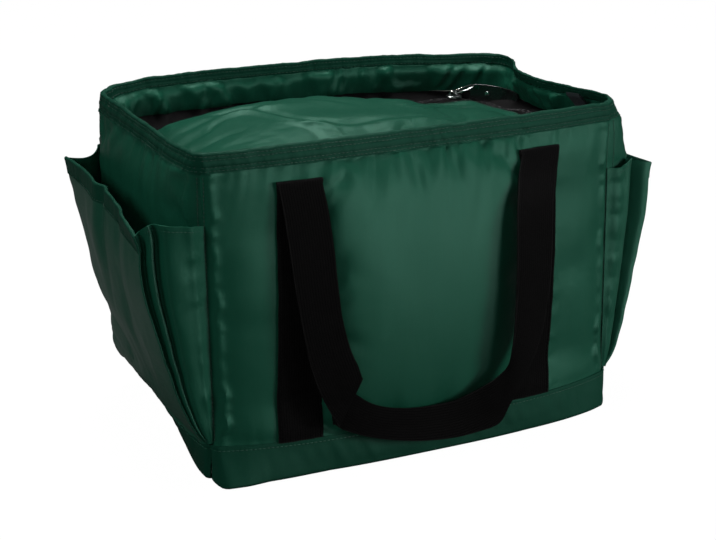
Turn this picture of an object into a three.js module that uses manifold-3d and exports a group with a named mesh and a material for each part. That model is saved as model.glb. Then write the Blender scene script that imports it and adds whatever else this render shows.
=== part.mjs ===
// Insulated cooler bag with a recessed zipped lid, two webbing handles and bellows end pockets.
// Millimetres, +X to the right, +Y to the back, +Z up, origin at the centre of the base on the floor.
import * as THREE from 'three';
import * as BufferGeometryUtils from 'three/addons/utils/BufferGeometryUtils.js';
import Module from 'manifold-3d';

const wasm = await Module();
wasm.setup();

// Body
const bagHeight = 285;
const baseWidth = 392;
const baseDepth = 240;
const rimWidth = 399;
const rimDepth = 234;
const rimLean = 5;
const leanPivot = 52;
const bellyHeight = 115;
const broadBulgeAtBase = 28;
const broadBulgeAtBelly = 31;
const broadBulgeAtRim = 4;
const endBulgeAtBase = 5;
const endBulgeAtBelly = 12;
const endBulgeAtRim = 4;
const broadBulgePower = 3.2;
const endBulgePower = 6;

// Layers of the wall and the base
const fabric = 0.8;
const layerGap = 0.5;
const sewnGap = 0.3;
const wallFoam = 5;
const linerFilm = 0.6;
const baseBoard = 2;
const baseFoamDepth = 6;
const bandHeight = 32;

// Rim hem and recessed collar
const hemHeight = 17;
const hemFold = 1;
const lidRecess = 36;
const foamBelowHem = 5;
const facingRise = 1;

// Zip and lid
const zipTape = 0.7;
const zipTapeWidth = 6.5;
const combDepth = 2.4;
const combHeight = 2;
const combPitch = 10;
const combNotch = 1.44;
const combTipGap = 1.4;
const zipCornerRadius = 22;
const zipInset = 14;
const lidCrown = 18;
const lidCoverSkin = 0.8;
const lidFoamDepth = 5;
const lidLinerSkin = 0.6;
const zipStopLength = 5;
const endTabWidth = 22;
const endTabLength = 13;
const endTabStand = 0.8;
const endTabLift = 1.5;
const endTabY = -57;

// Zip slider, ring and pull
const sliderX = 155;
const sliderLength = 15;
const sliderWidth = 11.5;
const sliderPlate = 1.4;
const sliderBridge = 0.8;
const sliderBridgeLength = 4;
const sliderNoseRadius = 3;
const sliderTail = 0.7;
const lugHeight = 4.4;
const lugWidth = 3.2;
const lugLength = 6;
const lugHole = 1.5;
const lugHoleDepth = 2.3;
const weldDepth = 0.4;
const ringRadius = 7.2;
const ringWire = 0.9;
const ringLean = 48;
const pullThickness = 2.4;
const pullHeight = 20;
const pullReach = 23;
const pullRun = 56;
const pullLap = 5;
const pullHole = 3.4;
const pullCornerRadius = 4;
const rivetRadius = 2.6;
const rivetShank = 1.2;
const rivetHead = 1;
const rivetShare = 0.3;

// Webbing handles
const webbingWidth = 40;
const webbingThickness = 1.8;
const handleSpacing = 230;
const legBelowHem = 14;
const legTop = bagHeight - hemHeight - legBelowHem;
const leftLegLean = 9;
const rightLegLean = 14;
const loopBottom = 28;
const loopPower = 3;
const loopStandOff = 9;

// Bellows pockets
const pocketSkin = 1;
const pocketTopHalf = 98;
const pocketFootHalf = 116;
const pocketHigh = bagHeight - hemHeight - 30;
const pocketLow = bagHeight - hemHeight - 52;
const pocketSag = 6;
const pocketFootLift = 7.6;
const pocketFrontLift = 55;
const pocketBackLift = 44;
const pocketFrontPower = 0.5;
const pocketBackPower = 1.2;
const pocketBelly = 10;
const pleatDepth = 24;
const pleatDepthAtFoot = 4;
const gussetSkin = 1.2;
const gussetFoot = 44;
const gussetTop = bagHeight - hemHeight - 40;

const green = { color: 0x1d4a38, roughness: 0.55, metalness: 0 };
const black = { color: 0x0c0c0d, roughness: 0.8, metalness: 0 };
const silverFilm = { color: 0xb9bdc0, roughness: 0.35, metalness: 0 };
const paleFoam = { color: 0xe6e4dc, roughness: 0.9, metalness: 0 };
const greyBoard = { color: 0x55585a, roughness: 0.7, metalness: 0 };
const chrome = { color: 0xc4c6c8, roughness: 0.18, metalness: 1 };

const group = new THREE.Group();

function addPart(name, geometry, finish) {
  const mesh = new THREE.Mesh(geometry, new THREE.MeshStandardMaterial(finish));
  mesh.name = name;
  group.add(mesh);
  return mesh;
}

// Closed body from points and triangles, turned so that its faces point out
function closedBody(points, triangles) {
  const positions = [];
  let volume = 0;
  for (const [a, b, c] of triangles) {
    volume += points[a].dot(new THREE.Vector3().crossVectors(points[b], points[c]));
  }
  for (const [a, b, c] of triangles) {
    const corners = volume > 0 ? [a, b, c] : [a, c, b];
    for (const corner of corners) positions.push(...points[corner].toArray());
  }
  const geometry = new THREE.BufferGeometry();
  geometry.setAttribute('position', new THREE.Float32BufferAttribute(positions, 3));
  return BufferGeometryUtils.mergeVertices(geometry, 1e-5);
}

// Two triangles of a quad, split along the diagonal that lies further from the bag's middle
function splitQuad(points, triangles, a, b, c, d) {
  const reach = (from, to) => Math.hypot(points[from].x + points[to].x, points[from].y + points[to].y);
  if (reach(a, c) >= reach(b, d)) triangles.push([a, b, c], [a, c, d]);
  else triangles.push([a, b, d], [b, c, d]);
}

// Sheet with two faces, each a grid of points given as rows of equal length
function thickSheet(faceRows, backRows) {
  const rowCount = faceRows.length;
  const columnCount = faceRows[0].length;
  const points = [...faceRows.flat(), ...backRows.flat()];
  const at = (side, row, column) => side * rowCount * columnCount + row * columnCount + column;
  const triangles = [];
  const quad = (a, b, c, d) => splitQuad(points, triangles, a, b, c, d);
  for (let row = 0; row < rowCount - 1; row++) {
    for (let column = 0; column < columnCount - 1; column++) {
      quad(at(0, row, column), at(0, row, column + 1), at(0, row + 1, column + 1), at(0, row + 1, column));
      quad(at(1, row, column), at(1, row + 1, column), at(1, row + 1, column + 1), at(1, row, column + 1));
    }
    const last = columnCount - 1;
    quad(at(0, row, 0), at(0, row + 1, 0), at(1, row + 1, 0), at(1, row, 0));
    quad(at(0, row, last), at(1, row, last), at(1, row + 1, last), at(0, row + 1, last));
  }
  for (let column = 0; column < columnCount - 1; column++) {
    const last = rowCount - 1;
    quad(at(0, 0, column), at(1, 0, column), at(1, 0, column + 1), at(0, 0, column + 1));
    quad(at(0, last, column), at(0, last, column + 1), at(1, last, column + 1), at(1, last, column));
  }
  return closedBody(points, triangles);
}

// Body skinned over closed rings: poles shut its two ends, or the last ring joins the first
function skinnedRings(rings, poles) {
  const ringSize = rings[0].length;
  const points = rings.flat();
  const triangles = [];
  const at = (ring, step) => (ring % rings.length) * ringSize + (step % ringSize);
  const bandCount = poles ? rings.length - 1 : rings.length;
  for (let ring = 0; ring < bandCount; ring++) {
    for (let step = 0; step < ringSize; step++) {
      const next = ring + 1;
      splitQuad(points, triangles, at(ring, step), at(ring, step + 1), at(next, step + 1), at(next, step));
    }
  }
  if (poles) {
    points.push(...poles);
    const startPole = rings.length * ringSize;
    for (let step = 0; step < ringSize; step++) {
      triangles.push([startPole, at(0, step + 1), at(0, step)]);
      triangles.push([startPole + 1, at(rings.length - 1, step), at(rings.length - 1, step + 1)]);
    }
  }
  return closedBody(points, triangles);
}

function toManifold(geometry) {
  const bare = geometry.clone();
  bare.deleteAttribute('normal');
  bare.deleteAttribute('uv');
  const merged = BufferGeometryUtils.mergeVertices(bare, 1e-4);
  const vertProperties = new Float32Array(merged.attributes.position.array);
  const triVerts = new Uint32Array(merged.index.array);
  return new wasm.Manifold(new wasm.Mesh({ numProp: 3, vertProperties, triVerts }));
}

function fromManifold(solid) {
  const mesh = solid.getMesh();
  const geometry = new THREE.BufferGeometry();
  geometry.setAttribute('position', new THREE.Float32BufferAttribute(mesh.vertProperties, 3));
  geometry.setIndex(new THREE.Uint32BufferAttribute(mesh.triVerts, 1));
  return geometry;
}

function block(width, depth, height, x, y, z) {
  return new THREE.BoxGeometry(width, depth, height).translate(x, y, z);
}

const mix = THREE.MathUtils.lerp;

function spread(from, to, count) {
  return Array.from({ length: count + 1 }, (_, step) => mix(from, to, step / count));
}

// Samples from -1 to 1 that crowd towards the seams
function seamCrowded(count) {
  return spread(-1, 1, count).map((share) => Math.sin(share * Math.PI / 2));
}

// Walls: four bulging faces on a tapered frame of corner seams
const hemBottom = bagHeight - hemHeight;

function cornerAt(z) {
  const share = z / bagHeight;
  return { x: mix(baseWidth, rimWidth, share) / 2, y: mix(baseDepth, rimDepth, share) / 2 };
}

// The walls lean back as they rise, about the level where the handles stand out furthest
function leanAt(z) {
  return rimLean * (z - leanPivot) / bagHeight;
}

function bulgeAt(z, base, belly, rim) {
  if (z < bellyHeight) return mix(base, belly, THREE.MathUtils.smoothstep(z, 0, bellyHeight));
  const share = (z - bellyHeight) / (bagHeight - bellyHeight);
  return mix(belly, rim, share * share);
}

function broadBulge(z) {
  return bulgeAt(z, broadBulgeAtBase, broadBulgeAtBelly, broadBulgeAtRim);
}

function endBulge(z) {
  return bulgeAt(z, endBulgeAtBase, endBulgeAtBelly, endBulgeAtRim);
}

// Point on a wall: along runs from -1 to 1 between the corner seams, inset goes into the bag
function wallPoint(side, along, z, inset, seamCut = 0) {
  const corner = cornerAt(z);
  const isBroad = side === 'front' || side === 'back';
  if (isBroad) {
    const swell = broadBulge(z) * (1 - Math.abs(along) ** broadBulgePower);
    const y = (corner.y - inset + swell) * (side === 'front' ? -1 : 1);
    return new THREE.Vector3(along * (corner.x - inset - seamCut), y + leanAt(z), z);
  }
  const swell = endBulge(z) * (1 - Math.abs(along) ** endBulgePower);
  const x = corner.x - inset + swell;
  return new THREE.Vector3(side === 'left' ? -x : x, along * (corner.y - inset - seamCut) + leanAt(z), z);
}

// How far out an end wall stands at a given place across it
function endWallX(y, z, inset) {
  return wallPoint('right', (y - leanAt(z)) / cornerAt(z).y, z, inset).x;
}

const broadSteps = 12;
const endSteps = 8;
const sharedLevels = spread(bandHeight, hemBottom, 8);

// Heights of a patch: its two ends and the levels that all walls share, so that nested layers stay parallel
function levels(low, high) {
  const between = sharedLevels.filter((level) => level > low + 1 && level < high - 1);
  return [low, ...between, high];
}

function wallPatch(side, low, high, outerInset, thickness) {
  const alongs = seamCrowded(side === 'front' || side === 'back' ? broadSteps : endSteps);
  const rows = (inset) => levels(low, high).map((z) => (
    alongs.map((along) => wallPoint(side, along, z, inset, sewnGap))));
  return thickSheet(rows(outerInset), rows(outerInset + thickness));
}

// Closed ring of points round all four walls at one level
function wallRing(z, inset) {
  const ring = [];
  const addSide = (side, count, reversed) => {
    const alongs = seamCrowded(count);
    if (reversed) alongs.reverse();
    for (const along of alongs.slice(0, -1)) ring.push(wallPoint(side, along, z, inset));
  };
  addSide('front', broadSteps, false);
  addSide('right', endSteps, false);
  addSide('back', broadSteps, true);
  addSide('left', endSteps, true);
  return ring;
}

function baseSlab(low, high, inset) {
  const outline = wallRing(low, inset).map((point) => new THREE.Vector2(point.x, point.y));
  const shape = new THREE.Shape(outline);
  return new THREE.ExtrudeGeometry(shape, { depth: high - low, bevelEnabled: false }).translate(0, 0, low);
}

const foamInset = fabric + layerGap;
const foamInnerInset = foamInset + wallFoam;
const liningInset = foamInnerInset + layerGap;
const boardTop = fabric + sewnGap + baseBoard;
const foamFoot = boardTop + sewnGap;
const baseFoamTop = foamFoot + baseFoamDepth;
const foamTop = hemBottom - foamBelowHem;
const lidLevel = bagHeight - lidRecess;
const panelTop = bagHeight - hemFold - sewnGap;

const sideNames = {
  front: 'front_panel', back: 'back_panel', left: 'left_end_panel', right: 'right_end_panel',
};
for (const [side, name] of Object.entries(sideNames)) {
  addPart(name, wallPatch(side, sewnGap, panelTop, 0, fabric), green);
  addPart(`base_band_${side}`, wallPatch(side, 0, bandHeight, -fabric - sewnGap, fabric), green);
  addPart(`${side}_wall_foam`, wallPatch(side, foamFoot, foamTop, foamInset, wallFoam), paleFoam);
}

// Base: fabric, stiff board, foam
addPart('base_panel', baseSlab(0, fabric, fabric + sewnGap), green);
addPart('base_board', baseSlab(fabric + sewnGap, boardTop, foamInset), greyBoard);
addPart('base_foam', baseSlab(foamFoot, baseFoamTop, liningInset), paleFoam);

// Lining tub, from the middle of its underside round the rim to the middle of its floor
function liningTub() {
  const underside = baseFoamTop + sewnGap;
  const floorTop = underside + linerFilm;
  const brim = lidLevel - combHeight;
  const innerInset = liningInset + linerFilm;
  const outerWall = levels(underside, brim).map((z) => wallRing(z, liningInset));
  const innerWall = levels(floorTop, brim).reverse().map((z) => wallRing(z, innerInset));
  const poles = [new THREE.Vector3(0, 0, underside), new THREE.Vector3(0, 0, floorTop)];
  return skinnedRings([...outerWall, ...innerWall], poles);
}
addPart('lining_tub', liningTub(), silverFilm);

// Collar facing: inner fabric from the rim over the foam's top down to the zip
const tapeBottom = lidLevel - zipTape / 2;
const tapeTop = lidLevel + zipTape / 2;
const facingFoot = tapeTop + sewnGap;
const rimFacingInset = fabric + sewnGap;
const collarInnerInset = liningInset + fabric;

function collarFacing() {
  const shoulder = foamTop + layerGap + facingRise;
  const slope = hemBottom - shoulder;
  const section = [
    [panelTop, rimFacingInset], [hemBottom, rimFacingInset],
    [shoulder, liningInset], [facingFoot, liningInset],
    [facingFoot, collarInnerInset], [shoulder + fabric, collarInnerInset],
    [shoulder + fabric + slope, rimFacingInset + fabric], [panelTop, rimFacingInset + fabric],
  ];
  return skinnedRings(section.map(([z, inset]) => wallRing(z, inset)));
}
addPart('collar_facing', collarFacing(), green);

// Rim hem: a binding folded over the rim
function rimHem() {
  const outer = -sewnGap - hemFold;
  const innerLegStart = rimFacingInset + fabric + sewnGap;
  const innerLegEnd = innerLegStart + hemFold;
  const innerFoot = hemBottom + 2 * fabric;
  const section = [
    [hemBottom, -sewnGap], [hemBottom, outer], [bagHeight, outer],
    [bagHeight, innerLegEnd], [innerFoot, innerLegEnd],
    [innerFoot, innerLegStart], [bagHeight - hemFold, innerLegStart], [bagHeight - hemFold, -sewnGap],
  ];
  return skinnedRings(section.map(([z, inset]) => wallRing(z, inset)));
}
addPart('rim_hem', rimHem(), green);

// Zip line: a bowed rectangle with round corners, from the hinge round the bag and back to it
const zipHalfX = cornerAt(lidLevel).x - zipInset;
const zipHalfY = cornerAt(lidLevel).y - zipInset;
const lidCentreY = leanAt(lidLevel);

// Closed plan curve, inset from the zip line: round corners joined by straight sides
const loopStraightX = 6;
const loopStraightY = 4;
const loopArc = 5;

function planLoop(inset, z) {
  const halfX = zipHalfX - inset;
  const halfY = zipHalfY - inset;
  const radius = zipCornerRadius - inset;
  const points = [];
  const corners = [[1, -1], [1, 1], [-1, 1], [-1, -1]];
  const arcPoint = ([signX, signY], degrees) => {
    const angle = THREE.MathUtils.degToRad(degrees);
    const x = signX * (halfX - radius) + radius * Math.cos(angle);
    const y = signY * (halfY - radius) + radius * Math.sin(angle);
    return new THREE.Vector3(x, y + lidCentreY, z);
  };
  corners.forEach((corner, index) => {
    const startAngle = 90 * index - 90;
    const straight = index % 2 === 0 ? loopStraightY : loopStraightX;
    const first = arcPoint(corner, startAngle + 90);
    const last = arcPoint(corners[(index + 1) % 4], startAngle + 90);
    for (const turn of spread(0, 90, loopArc)) points.push(arcPoint(corner, startAngle + turn));
    for (const share of spread(0, 1, straight).slice(1, -1)) points.push(first.clone().lerp(last, share));
  });
  return points;
}

// The zip runs from the right front corner by the back to the left front corner
const zipRunStart = loopArc;
const zipRunEnd = 3 * (loopArc + 1) + 2 * (loopStraightY - 1) + (loopStraightX - 1);

function zipRun(inset, z) {
  return planLoop(inset, z).slice(zipRunStart, zipRunEnd + 1);
}

function insideCollar(point) {
  const corner = cornerAt(lidLevel);
  const broad = wallPoint('back', point.x / corner.x, lidLevel, collarInnerInset).y - lidCentreY;
  const end = endWallX(point.y, lidLevel, collarInnerInset);
  return Math.abs(point.y - lidCentreY) < broad && Math.abs(point.x) < end;
}

// Place on the collar's wall straight out from a point of the zip
function reachCollar(point, outward) {
  let near = 0;
  let far = 60;
  for (let step = 0; step < 30; step++) {
    const middle = (near + far) / 2;
    if (insideCollar(point.clone().addScaledVector(outward, middle))) near = middle;
    else far = middle;
  }
  return point.clone().addScaledVector(outward, near - sewnGap);
}

const combTip = combTipGap / 2;
const combRoot = combTip + combDepth;

// Tape of the lid's side, and the collar's tape that widens to meet the bulging wall
function lidTape() {
  const rows = (z) => {
    const near = zipRun(combRoot + sewnGap, z);
    const far = zipRun(combRoot + sewnGap + zipTapeWidth, z);
    return near.map((point, index) => [point, far[index]]);
  };
  return thickSheet(rows(tapeTop), rows(tapeBottom));
}

function collarTape() {
  const rows = (z) => {
    const near = zipRun(-combRoot - sewnGap, z);
    const inner = zipRun(combRoot, z);
    return near.map((point, index) => {
      const outward = point.clone().sub(inner[index]).normalize();
      return [point, reachCollar(point, outward)];
    });
  };
  return thickSheet(rows(tapeTop), rows(tapeBottom));
}

// Comb of coil loops along the edge of a tape: sign +1 is the lid's side, -1 the collar's side
function zipComb(sign) {
  const shallow = zipRun(sign * (combTip + combNotch), 0);
  const deep = zipRun(sign * combTip, 0);
  const root = zipRun(sign * combRoot, 0);
  const face = (z) => {
    const rows = [];
    for (let index = 0; index < root.length - 1; index++) {
      const loops = Math.max(1, Math.round(root[index].distanceTo(root[index + 1]) / combPitch));
      for (const share of spread(0, 1, 2 * loops).slice(index === 0 ? 0 : 1)) {
        const isTip = rows.length % 2 === (sign > 0 ? 0 : 1);
        const edge = isTip ? deep : shallow;
        const tip = edge[index].clone().lerp(edge[index + 1], share).setZ(z);
        rows.push([tip, root[index].clone().lerp(root[index + 1], share).setZ(z)]);
      }
    }
    return rows;
  };
  return thickSheet(face(lidLevel + combHeight / 2), face(lidLevel - combHeight / 2));
}

addPart('lid_zip_tape', lidTape(), black);
addPart('collar_zip_tape', collarTape(), black);
addPart('lid_zip_comb', zipComb(1), black);
addPart('collar_zip_comb', zipComb(-1), black);

// Lid: three crowned layers, a fabric cover, foam and lining
const lidEdgeInset = combRoot + sewnGap + zipTapeWidth + sewnGap;
const crownShares = [0.4, 0.7, 0.9, 1];

function crownHeight(share) {
  return lidCrown * (1 - share ** 2.2);
}

function lidLayer(edgeZ, thickness) {
  const edge = planLoop(lidEdgeInset, 0);
  const ringAt = (share, base) => edge.map((point) => (
    new THREE.Vector3(point.x * share, mix(lidCentreY, point.y, share), base + crownHeight(share))));
  const top = crownShares.map((share) => ringAt(share, edgeZ + thickness));
  const bottom = [...crownShares].reverse().map((share) => ringAt(share, edgeZ));
  const poles = [edgeZ + thickness, edgeZ].map((z) => new THREE.Vector3(0, lidCentreY, z + crownHeight(0)));
  return skinnedRings([...top, ...bottom], poles);
}

const lidCoverEdge = tapeTop - lidCoverSkin;
const lidFoamEdge = lidCoverEdge - sewnGap - lidFoamDepth;
const lidLinerEdge = lidFoamEdge - sewnGap - lidLinerSkin;
addPart('lid_cover', lidLayer(lidCoverEdge, lidCoverSkin), green);
addPart('lid_foam', lidLayer(lidFoamEdge, lidFoamDepth), paleFoam);
addPart('lid_lining', lidLayer(lidLinerEdge, lidLinerSkin), silverFilm);

// Hinge strip: fabric ledge that carries the lid's front edge, from one zip stop round to the other
const stopFront = zipRun(0, lidLevel)[0].y - zipStopLength - 2 * sewnGap;

function hingeStrip() {
  const frontRun = (inset, z) => {
    const loop = planLoop(inset, z);
    const run = [...loop.slice(zipRunEnd), ...loop.slice(0, zipRunStart + 1)];
    run[0].y = stopFront;
    run[run.length - 1].y = stopFront;
    return run;
  };
  const rows = (z) => {
    const near = frontRun(lidEdgeInset - sewnGap, z);
    const inner = frontRun(lidEdgeInset, z);
    return near.map((point, index) => {
      const outward = point.clone().sub(inner[index]).normalize();
      return [point, reachCollar(point, outward)];
    });
  };
  return thickSheet(rows(tapeTop), rows(tapeBottom));
}
addPart('lid_hinge_strip', hingeStrip(), green);

// Fabric stops sewn over the two ends of the zip
for (const [name, sign] of [['right', 1], ['left', -1]]) {
  const end = zipRun(0, lidLevel)[0];
  const y = end.y - sewnGap - zipStopLength / 2;
  const stop = block(2 * combRoot + 2, zipStopLength, combHeight + 1, sign * end.x, y, lidLevel);
  addPart(`zip_stop_${name}`, stop, black);
}

// Ribbon tab on the inside of the right wall, folded double
function zipEndTab() {
  const ys = spread(endTabY - endTabWidth / 2, endTabY + endTabWidth / 2, 2);
  const foot = facingFoot + endTabLift;
  const rows = (stand) => [foot, foot + endTabLength].map((z) => (
    ys.map((y) => new THREE.Vector3(endWallX(y, z, collarInnerInset + stand), y, z))));
  return thickSheet(rows(endTabStand), rows(endTabStand + 2 * zipTape));
}
addPart('zip_end_tab', zipEndTab(), black);

// Zip slider: two plates joined by a bridge between the combs, flanges over the tapes, lug on top
const plateGap = combHeight / 2 + 0.5;

function sliderBody() {
  const plateShape = new THREE.Shape();
  const half = sliderLength / 2;
  const wide = sliderWidth / 2;
  const flank = wide - 0.8 * sliderNoseRadius;
  plateShape.moveTo(-half, -wide * sliderTail);
  plateShape.lineTo(half - sliderNoseRadius, -wide);
  plateShape.quadraticCurveTo(half, -wide, half, -flank);
  plateShape.lineTo(half, flank);
  plateShape.quadraticCurveTo(half, wide, half - sliderNoseRadius, wide);
  plateShape.lineTo(-half, wide * sliderTail);
  const plateAt = (z) => new THREE.ExtrudeGeometry(plateShape, {
    depth: sliderPlate, bevelEnabled: false, curveSegments: 3,
  }).translate(0, 0, z);
  const bridgeHeight = 2 * (plateGap + sliderPlate);
  const lugTop = plateGap + sliderPlate + lugHeight;
  const lugZ = plateGap + sliderPlate;
  let solid = toManifold(plateAt(plateGap));
  solid = solid.add(toManifold(plateAt(-plateGap - sliderPlate)));
  const bridgeX = half - 0.5 - sliderBridgeLength / 2;
  solid = solid.add(toManifold(block(sliderBridgeLength, sliderBridge, bridgeHeight, bridgeX, 0, 0)));
  const lug = block(lugLength, lugWidth, lugHeight + weldDepth, 0, 0, lugZ + (lugHeight - weldDepth) / 2);
  solid = solid.add(toManifold(lug));
  const hole = new THREE.CylinderGeometry(lugHole, lugHole, lugWidth * 2, 12);
  solid = solid.subtract(toManifold(hole.translate(0, 0, lugTop - lugHoleDepth)));
  return fromManifold(solid).translate(sliderX, zipHalfY + lidCentreY, lidLevel);
}
addPart('zip_slider', sliderBody(), chrome);

// Ring through the slider's lug, leaning up towards the corner of the bag
const lugCentreZ = lidLevel + plateGap + sliderPlate + lugHeight - lugHoleDepth;
const lugCentre = new THREE.Vector3(sliderX, zipHalfY + lidCentreY, lugCentreZ);
const ringDirection = new THREE.Vector3(
  Math.cos(THREE.MathUtils.degToRad(ringLean)), 0, Math.sin(THREE.MathUtils.degToRad(ringLean)));
const ringCentre = lugCentre.clone().addScaledVector(ringDirection, ringRadius);

function pullRing() {
  const torus = new THREE.TorusGeometry(ringRadius, ringWire, 6, 18);
  const toBack = new THREE.Vector3(0, 1, 0);
  const ringAxis = new THREE.Vector3().crossVectors(ringDirection, toBack);
  const basis = new THREE.Matrix4().makeBasis(ringDirection, toBack, ringAxis);
  return torus.applyMatrix4(basis).translate(ringCentre.x, ringCentre.y, ringCentre.z);
}
addPart('zip_pull_ring', pullRing(), chrome);

// Pull tab: a stiff strip on edge that bends round the corner inside the collar
const pullGrip = ringCentre.clone().addScaledVector(ringDirection, ringRadius);
const pullAt = (reach, back) => new THREE.Vector3(pullGrip.x + reach, pullGrip.y + back, 0);
const pullPath = new THREE.CatmullRomCurve3([
  pullAt(-pullLap, 0.7 * pullLap),
  pullAt(0, 0),
  pullAt(0.52 * pullReach, -0.23 * pullRun),
  pullAt(0.87 * pullReach, -0.61 * pullRun),
  pullAt(pullReach, -pullRun),
]);

function pullFrame(share) {
  const place = pullPath.getPointAt(share).setZ(pullGrip.z);
  const tangent = pullPath.getTangentAt(share);
  return { place, normal: new THREE.Vector3(-tangent.y, tangent.x, 0).normalize() };
}

// Stub along a normal of the pull, for its hole and its rivet
function crossPin(radius, length, sides, { place, normal }) {
  const pin = new THREE.CylinderGeometry(radius, radius, length, sides);
  return pin.rotateZ(Math.atan2(normal.y, normal.x) - Math.PI / 2).translate(place.x, place.y, place.z);
}

const rivetFrame = pullFrame(rivetShare);
const gripFrame = { place: pullGrip, normal: pullFrame(0.1).normal };

function pullTab() {
  const steps = 12;
  const length = pullPath.getLength();
  const rows = (side) => spread(0, 1, steps).map((share) => {
    const { place, normal } = pullFrame(share);
    const fromEnd = Math.min(share, 1 - share) * length;
    const trim = fromEnd < pullCornerRadius
      ? pullCornerRadius - Math.sqrt(pullCornerRadius ** 2 - (pullCornerRadius - fromEnd) ** 2)
      : 0;
    const half = pullHeight / 2 - trim;
    return [-half, 0, half].map((up) => (
      place.clone().addScaledVector(normal, side * pullThickness / 2).setZ(place.z + up)));
  });
  const strip = toManifold(thickSheet(rows(1), rows(-1)));
  const grip = toManifold(crossPin(pullHole, pullThickness * 4, 16, gripFrame));
  const bore = toManifold(crossPin(rivetShank + sewnGap, pullThickness * 2, 12, rivetFrame));
  return fromManifold(strip.subtract(grip).subtract(bore));
}
addPart('zip_pull_tab', pullTab(), black);

// Rivet that closes the fold of the pull: a shank with a flat head on each side
function pullRivet() {
  const headFoot = pullThickness / 2 + sewnGap;
  const { place, normal } = rivetFrame;
  const head = (side) => crossPin(rivetRadius, rivetHead, 16, {
    place: place.clone().addScaledVector(normal, side * (headFoot + rivetHead / 2)), normal,
  });
  const shank = toManifold(crossPin(rivetShank, 2 * headFoot + rivetHead, 12, rivetFrame));
  return fromManifold(shank.add(toManifold(head(1))).add(toManifold(head(-1))));
}
addPart('zip_pull_rivet', pullRivet(), chrome);

// The fold of the loop turns over the end of the leg, so the leg stops short of it
const legFace = sewnGap + webbingThickness;
const foldClearance = webbingThickness + sewnGap;

// Place on a broad wall's outside, standing off it by a given depth
function broadPlace(side, x, z, stand) {
  return wallPoint(side, x / cornerAt(z).x, z, -stand).setX(x);
}

// Handle legs sewn up the front and the back, from the base band to the fold; their feet lean sideways
function handleLeg(side, topX, lean) {
  const foot = bandHeight + sewnGap;
  const head = legTop - foldClearance;
  const rows = (stand) => levels(foot, head).map((z) => {
    const centreX = topX + lean * (head - z) / (head - foot);
    const xs = spread(centreX - webbingWidth / 2, centreX + webbingWidth / 2, 3);
    return xs.map((x) => broadPlace(side, x, z, stand));
  });
  return thickSheet(rows(sewnGap + webbingThickness), rows(sewnGap));
}

// Handle loop: webbing folded over the top of the legs, hanging in a U in front of them
function loopCentre(angle) {
  const halfSpacing = handleSpacing / 2;
  const across = -Math.sign(Math.cos(angle)) * Math.abs(Math.cos(angle)) ** (2 / loopPower);
  const down = Math.abs(Math.sin(angle)) ** (2 / loopPower);
  return new THREE.Vector2(halfSpacing * across, legTop - (legTop - loopBottom) * down);
}

// Row of points straight across the webbing, off the most bulging place that it passes over
function webbingRow(side, places, stand) {
  const depths = places.map(({ x, z }) => Math.abs(broadPlace(side, x, z, stand).y));
  const y = Math.max(...depths) * (side === 'front' ? -1 : 1);
  return places.map(({ x, z }) => new THREE.Vector3(x, y, z));
}

function handleLoop(side) {
  const steps = 32;
  const acrossShares = spread(-0.5, 0.5, 2);
  const foldDepth = legFace + sewnGap / 2;
  const backStand = legFace + sewnGap;
  const face = [];
  const back = [];
  const addFold = (centreX, turns) => {
    for (const degrees of turns) {
      const angle = THREE.MathUtils.degToRad(degrees);
      const row = (radius) => {
        const places = acrossShares.map((share) => (
          { x: centreX - Math.sign(centreX) * share * webbingWidth, z: legTop }));
        const lift = sewnGap + radius * Math.sin(angle);
        const points = webbingRow(side, places, foldDepth + radius * Math.cos(angle));
        return points.map((point) => point.setZ(legTop + lift));
      };
      face.push(row(sewnGap / 2 + webbingThickness));
      back.push(row(sewnGap / 2));
    }
  };
  addFold(-handleSpacing / 2, [180, 120, 60]);
  for (const share of spread(0, 1, steps)) {
    const angle = Math.PI * share;
    const centre = loopCentre(angle);
    const level = share === 0 || share === 1;
    const tangent = level
      ? new THREE.Vector2(0, share === 0 ? -1 : 1)
      : loopCentre(angle + 0.001).sub(loopCentre(angle - 0.001)).normalize();
    const places = acrossShares.map((across) => ({
      x: centre.x - tangent.y * across * webbingWidth,
      z: centre.y + tangent.x * across * webbingWidth,
    }));
    const hang = backStand + loopStandOff * (legTop - centre.y) / (legTop - loopBottom);
    face.push(webbingRow(side, places, hang + webbingThickness));
    back.push(webbingRow(side, places, hang));
  }
  addFold(handleSpacing / 2, [60, 120, 180]);
  return thickSheet(face, back);
}

for (const [side, lean] of [['front', -1], ['back', 1]]) {
  const [left, right] = side === 'front' ? [leftLegLean, rightLegLean] : [rightLegLean, leftLegLean];
  addPart(`${side}_strap_left`, handleLeg(side, -handleSpacing / 2, lean * left), black);
  addPart(`${side}_strap_right`, handleLeg(side, handleSpacing / 2, lean * right), black);
  addPart(`${side}_handle_loop`, handleLoop(side), black);
}

// Bellows pockets: a panel that leans out from the base band, pleated gussets at both edges
function pocketEdge(z) {
  return mix(pocketFootHalf, pocketTopHalf, (z - bandHeight) / (pocketHigh - bandHeight));
}

function pocketTopAt(along) {
  return mix(pocketLow, pocketHigh, (along + 1) / 2) - pocketSag * (1 - along * along);
}

// The front edge swings out low down, the back edge only near its top, and the panel bellies between them
function pocketX(along, z, stand) {
  const share = (z - bandHeight) / (pocketHigh - bandHeight);
  const toBack = (along + 1) / 2;
  const rise = share ** mix(pocketFrontPower, pocketBackPower, toBack);
  const lift = mix(pocketFootLift, mix(pocketFrontLift, pocketBackLift, toBack), rise);
  const belly = pocketBelly * (1 - along * along) * Math.sin(Math.PI * share);
  return cornerAt(z).x + lift + belly + stand;
}

function pocketPoint(sign, along, z, stand) {
  return new THREE.Vector3(sign * pocketX(along, z, stand), along * pocketEdge(z), z);
}

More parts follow.
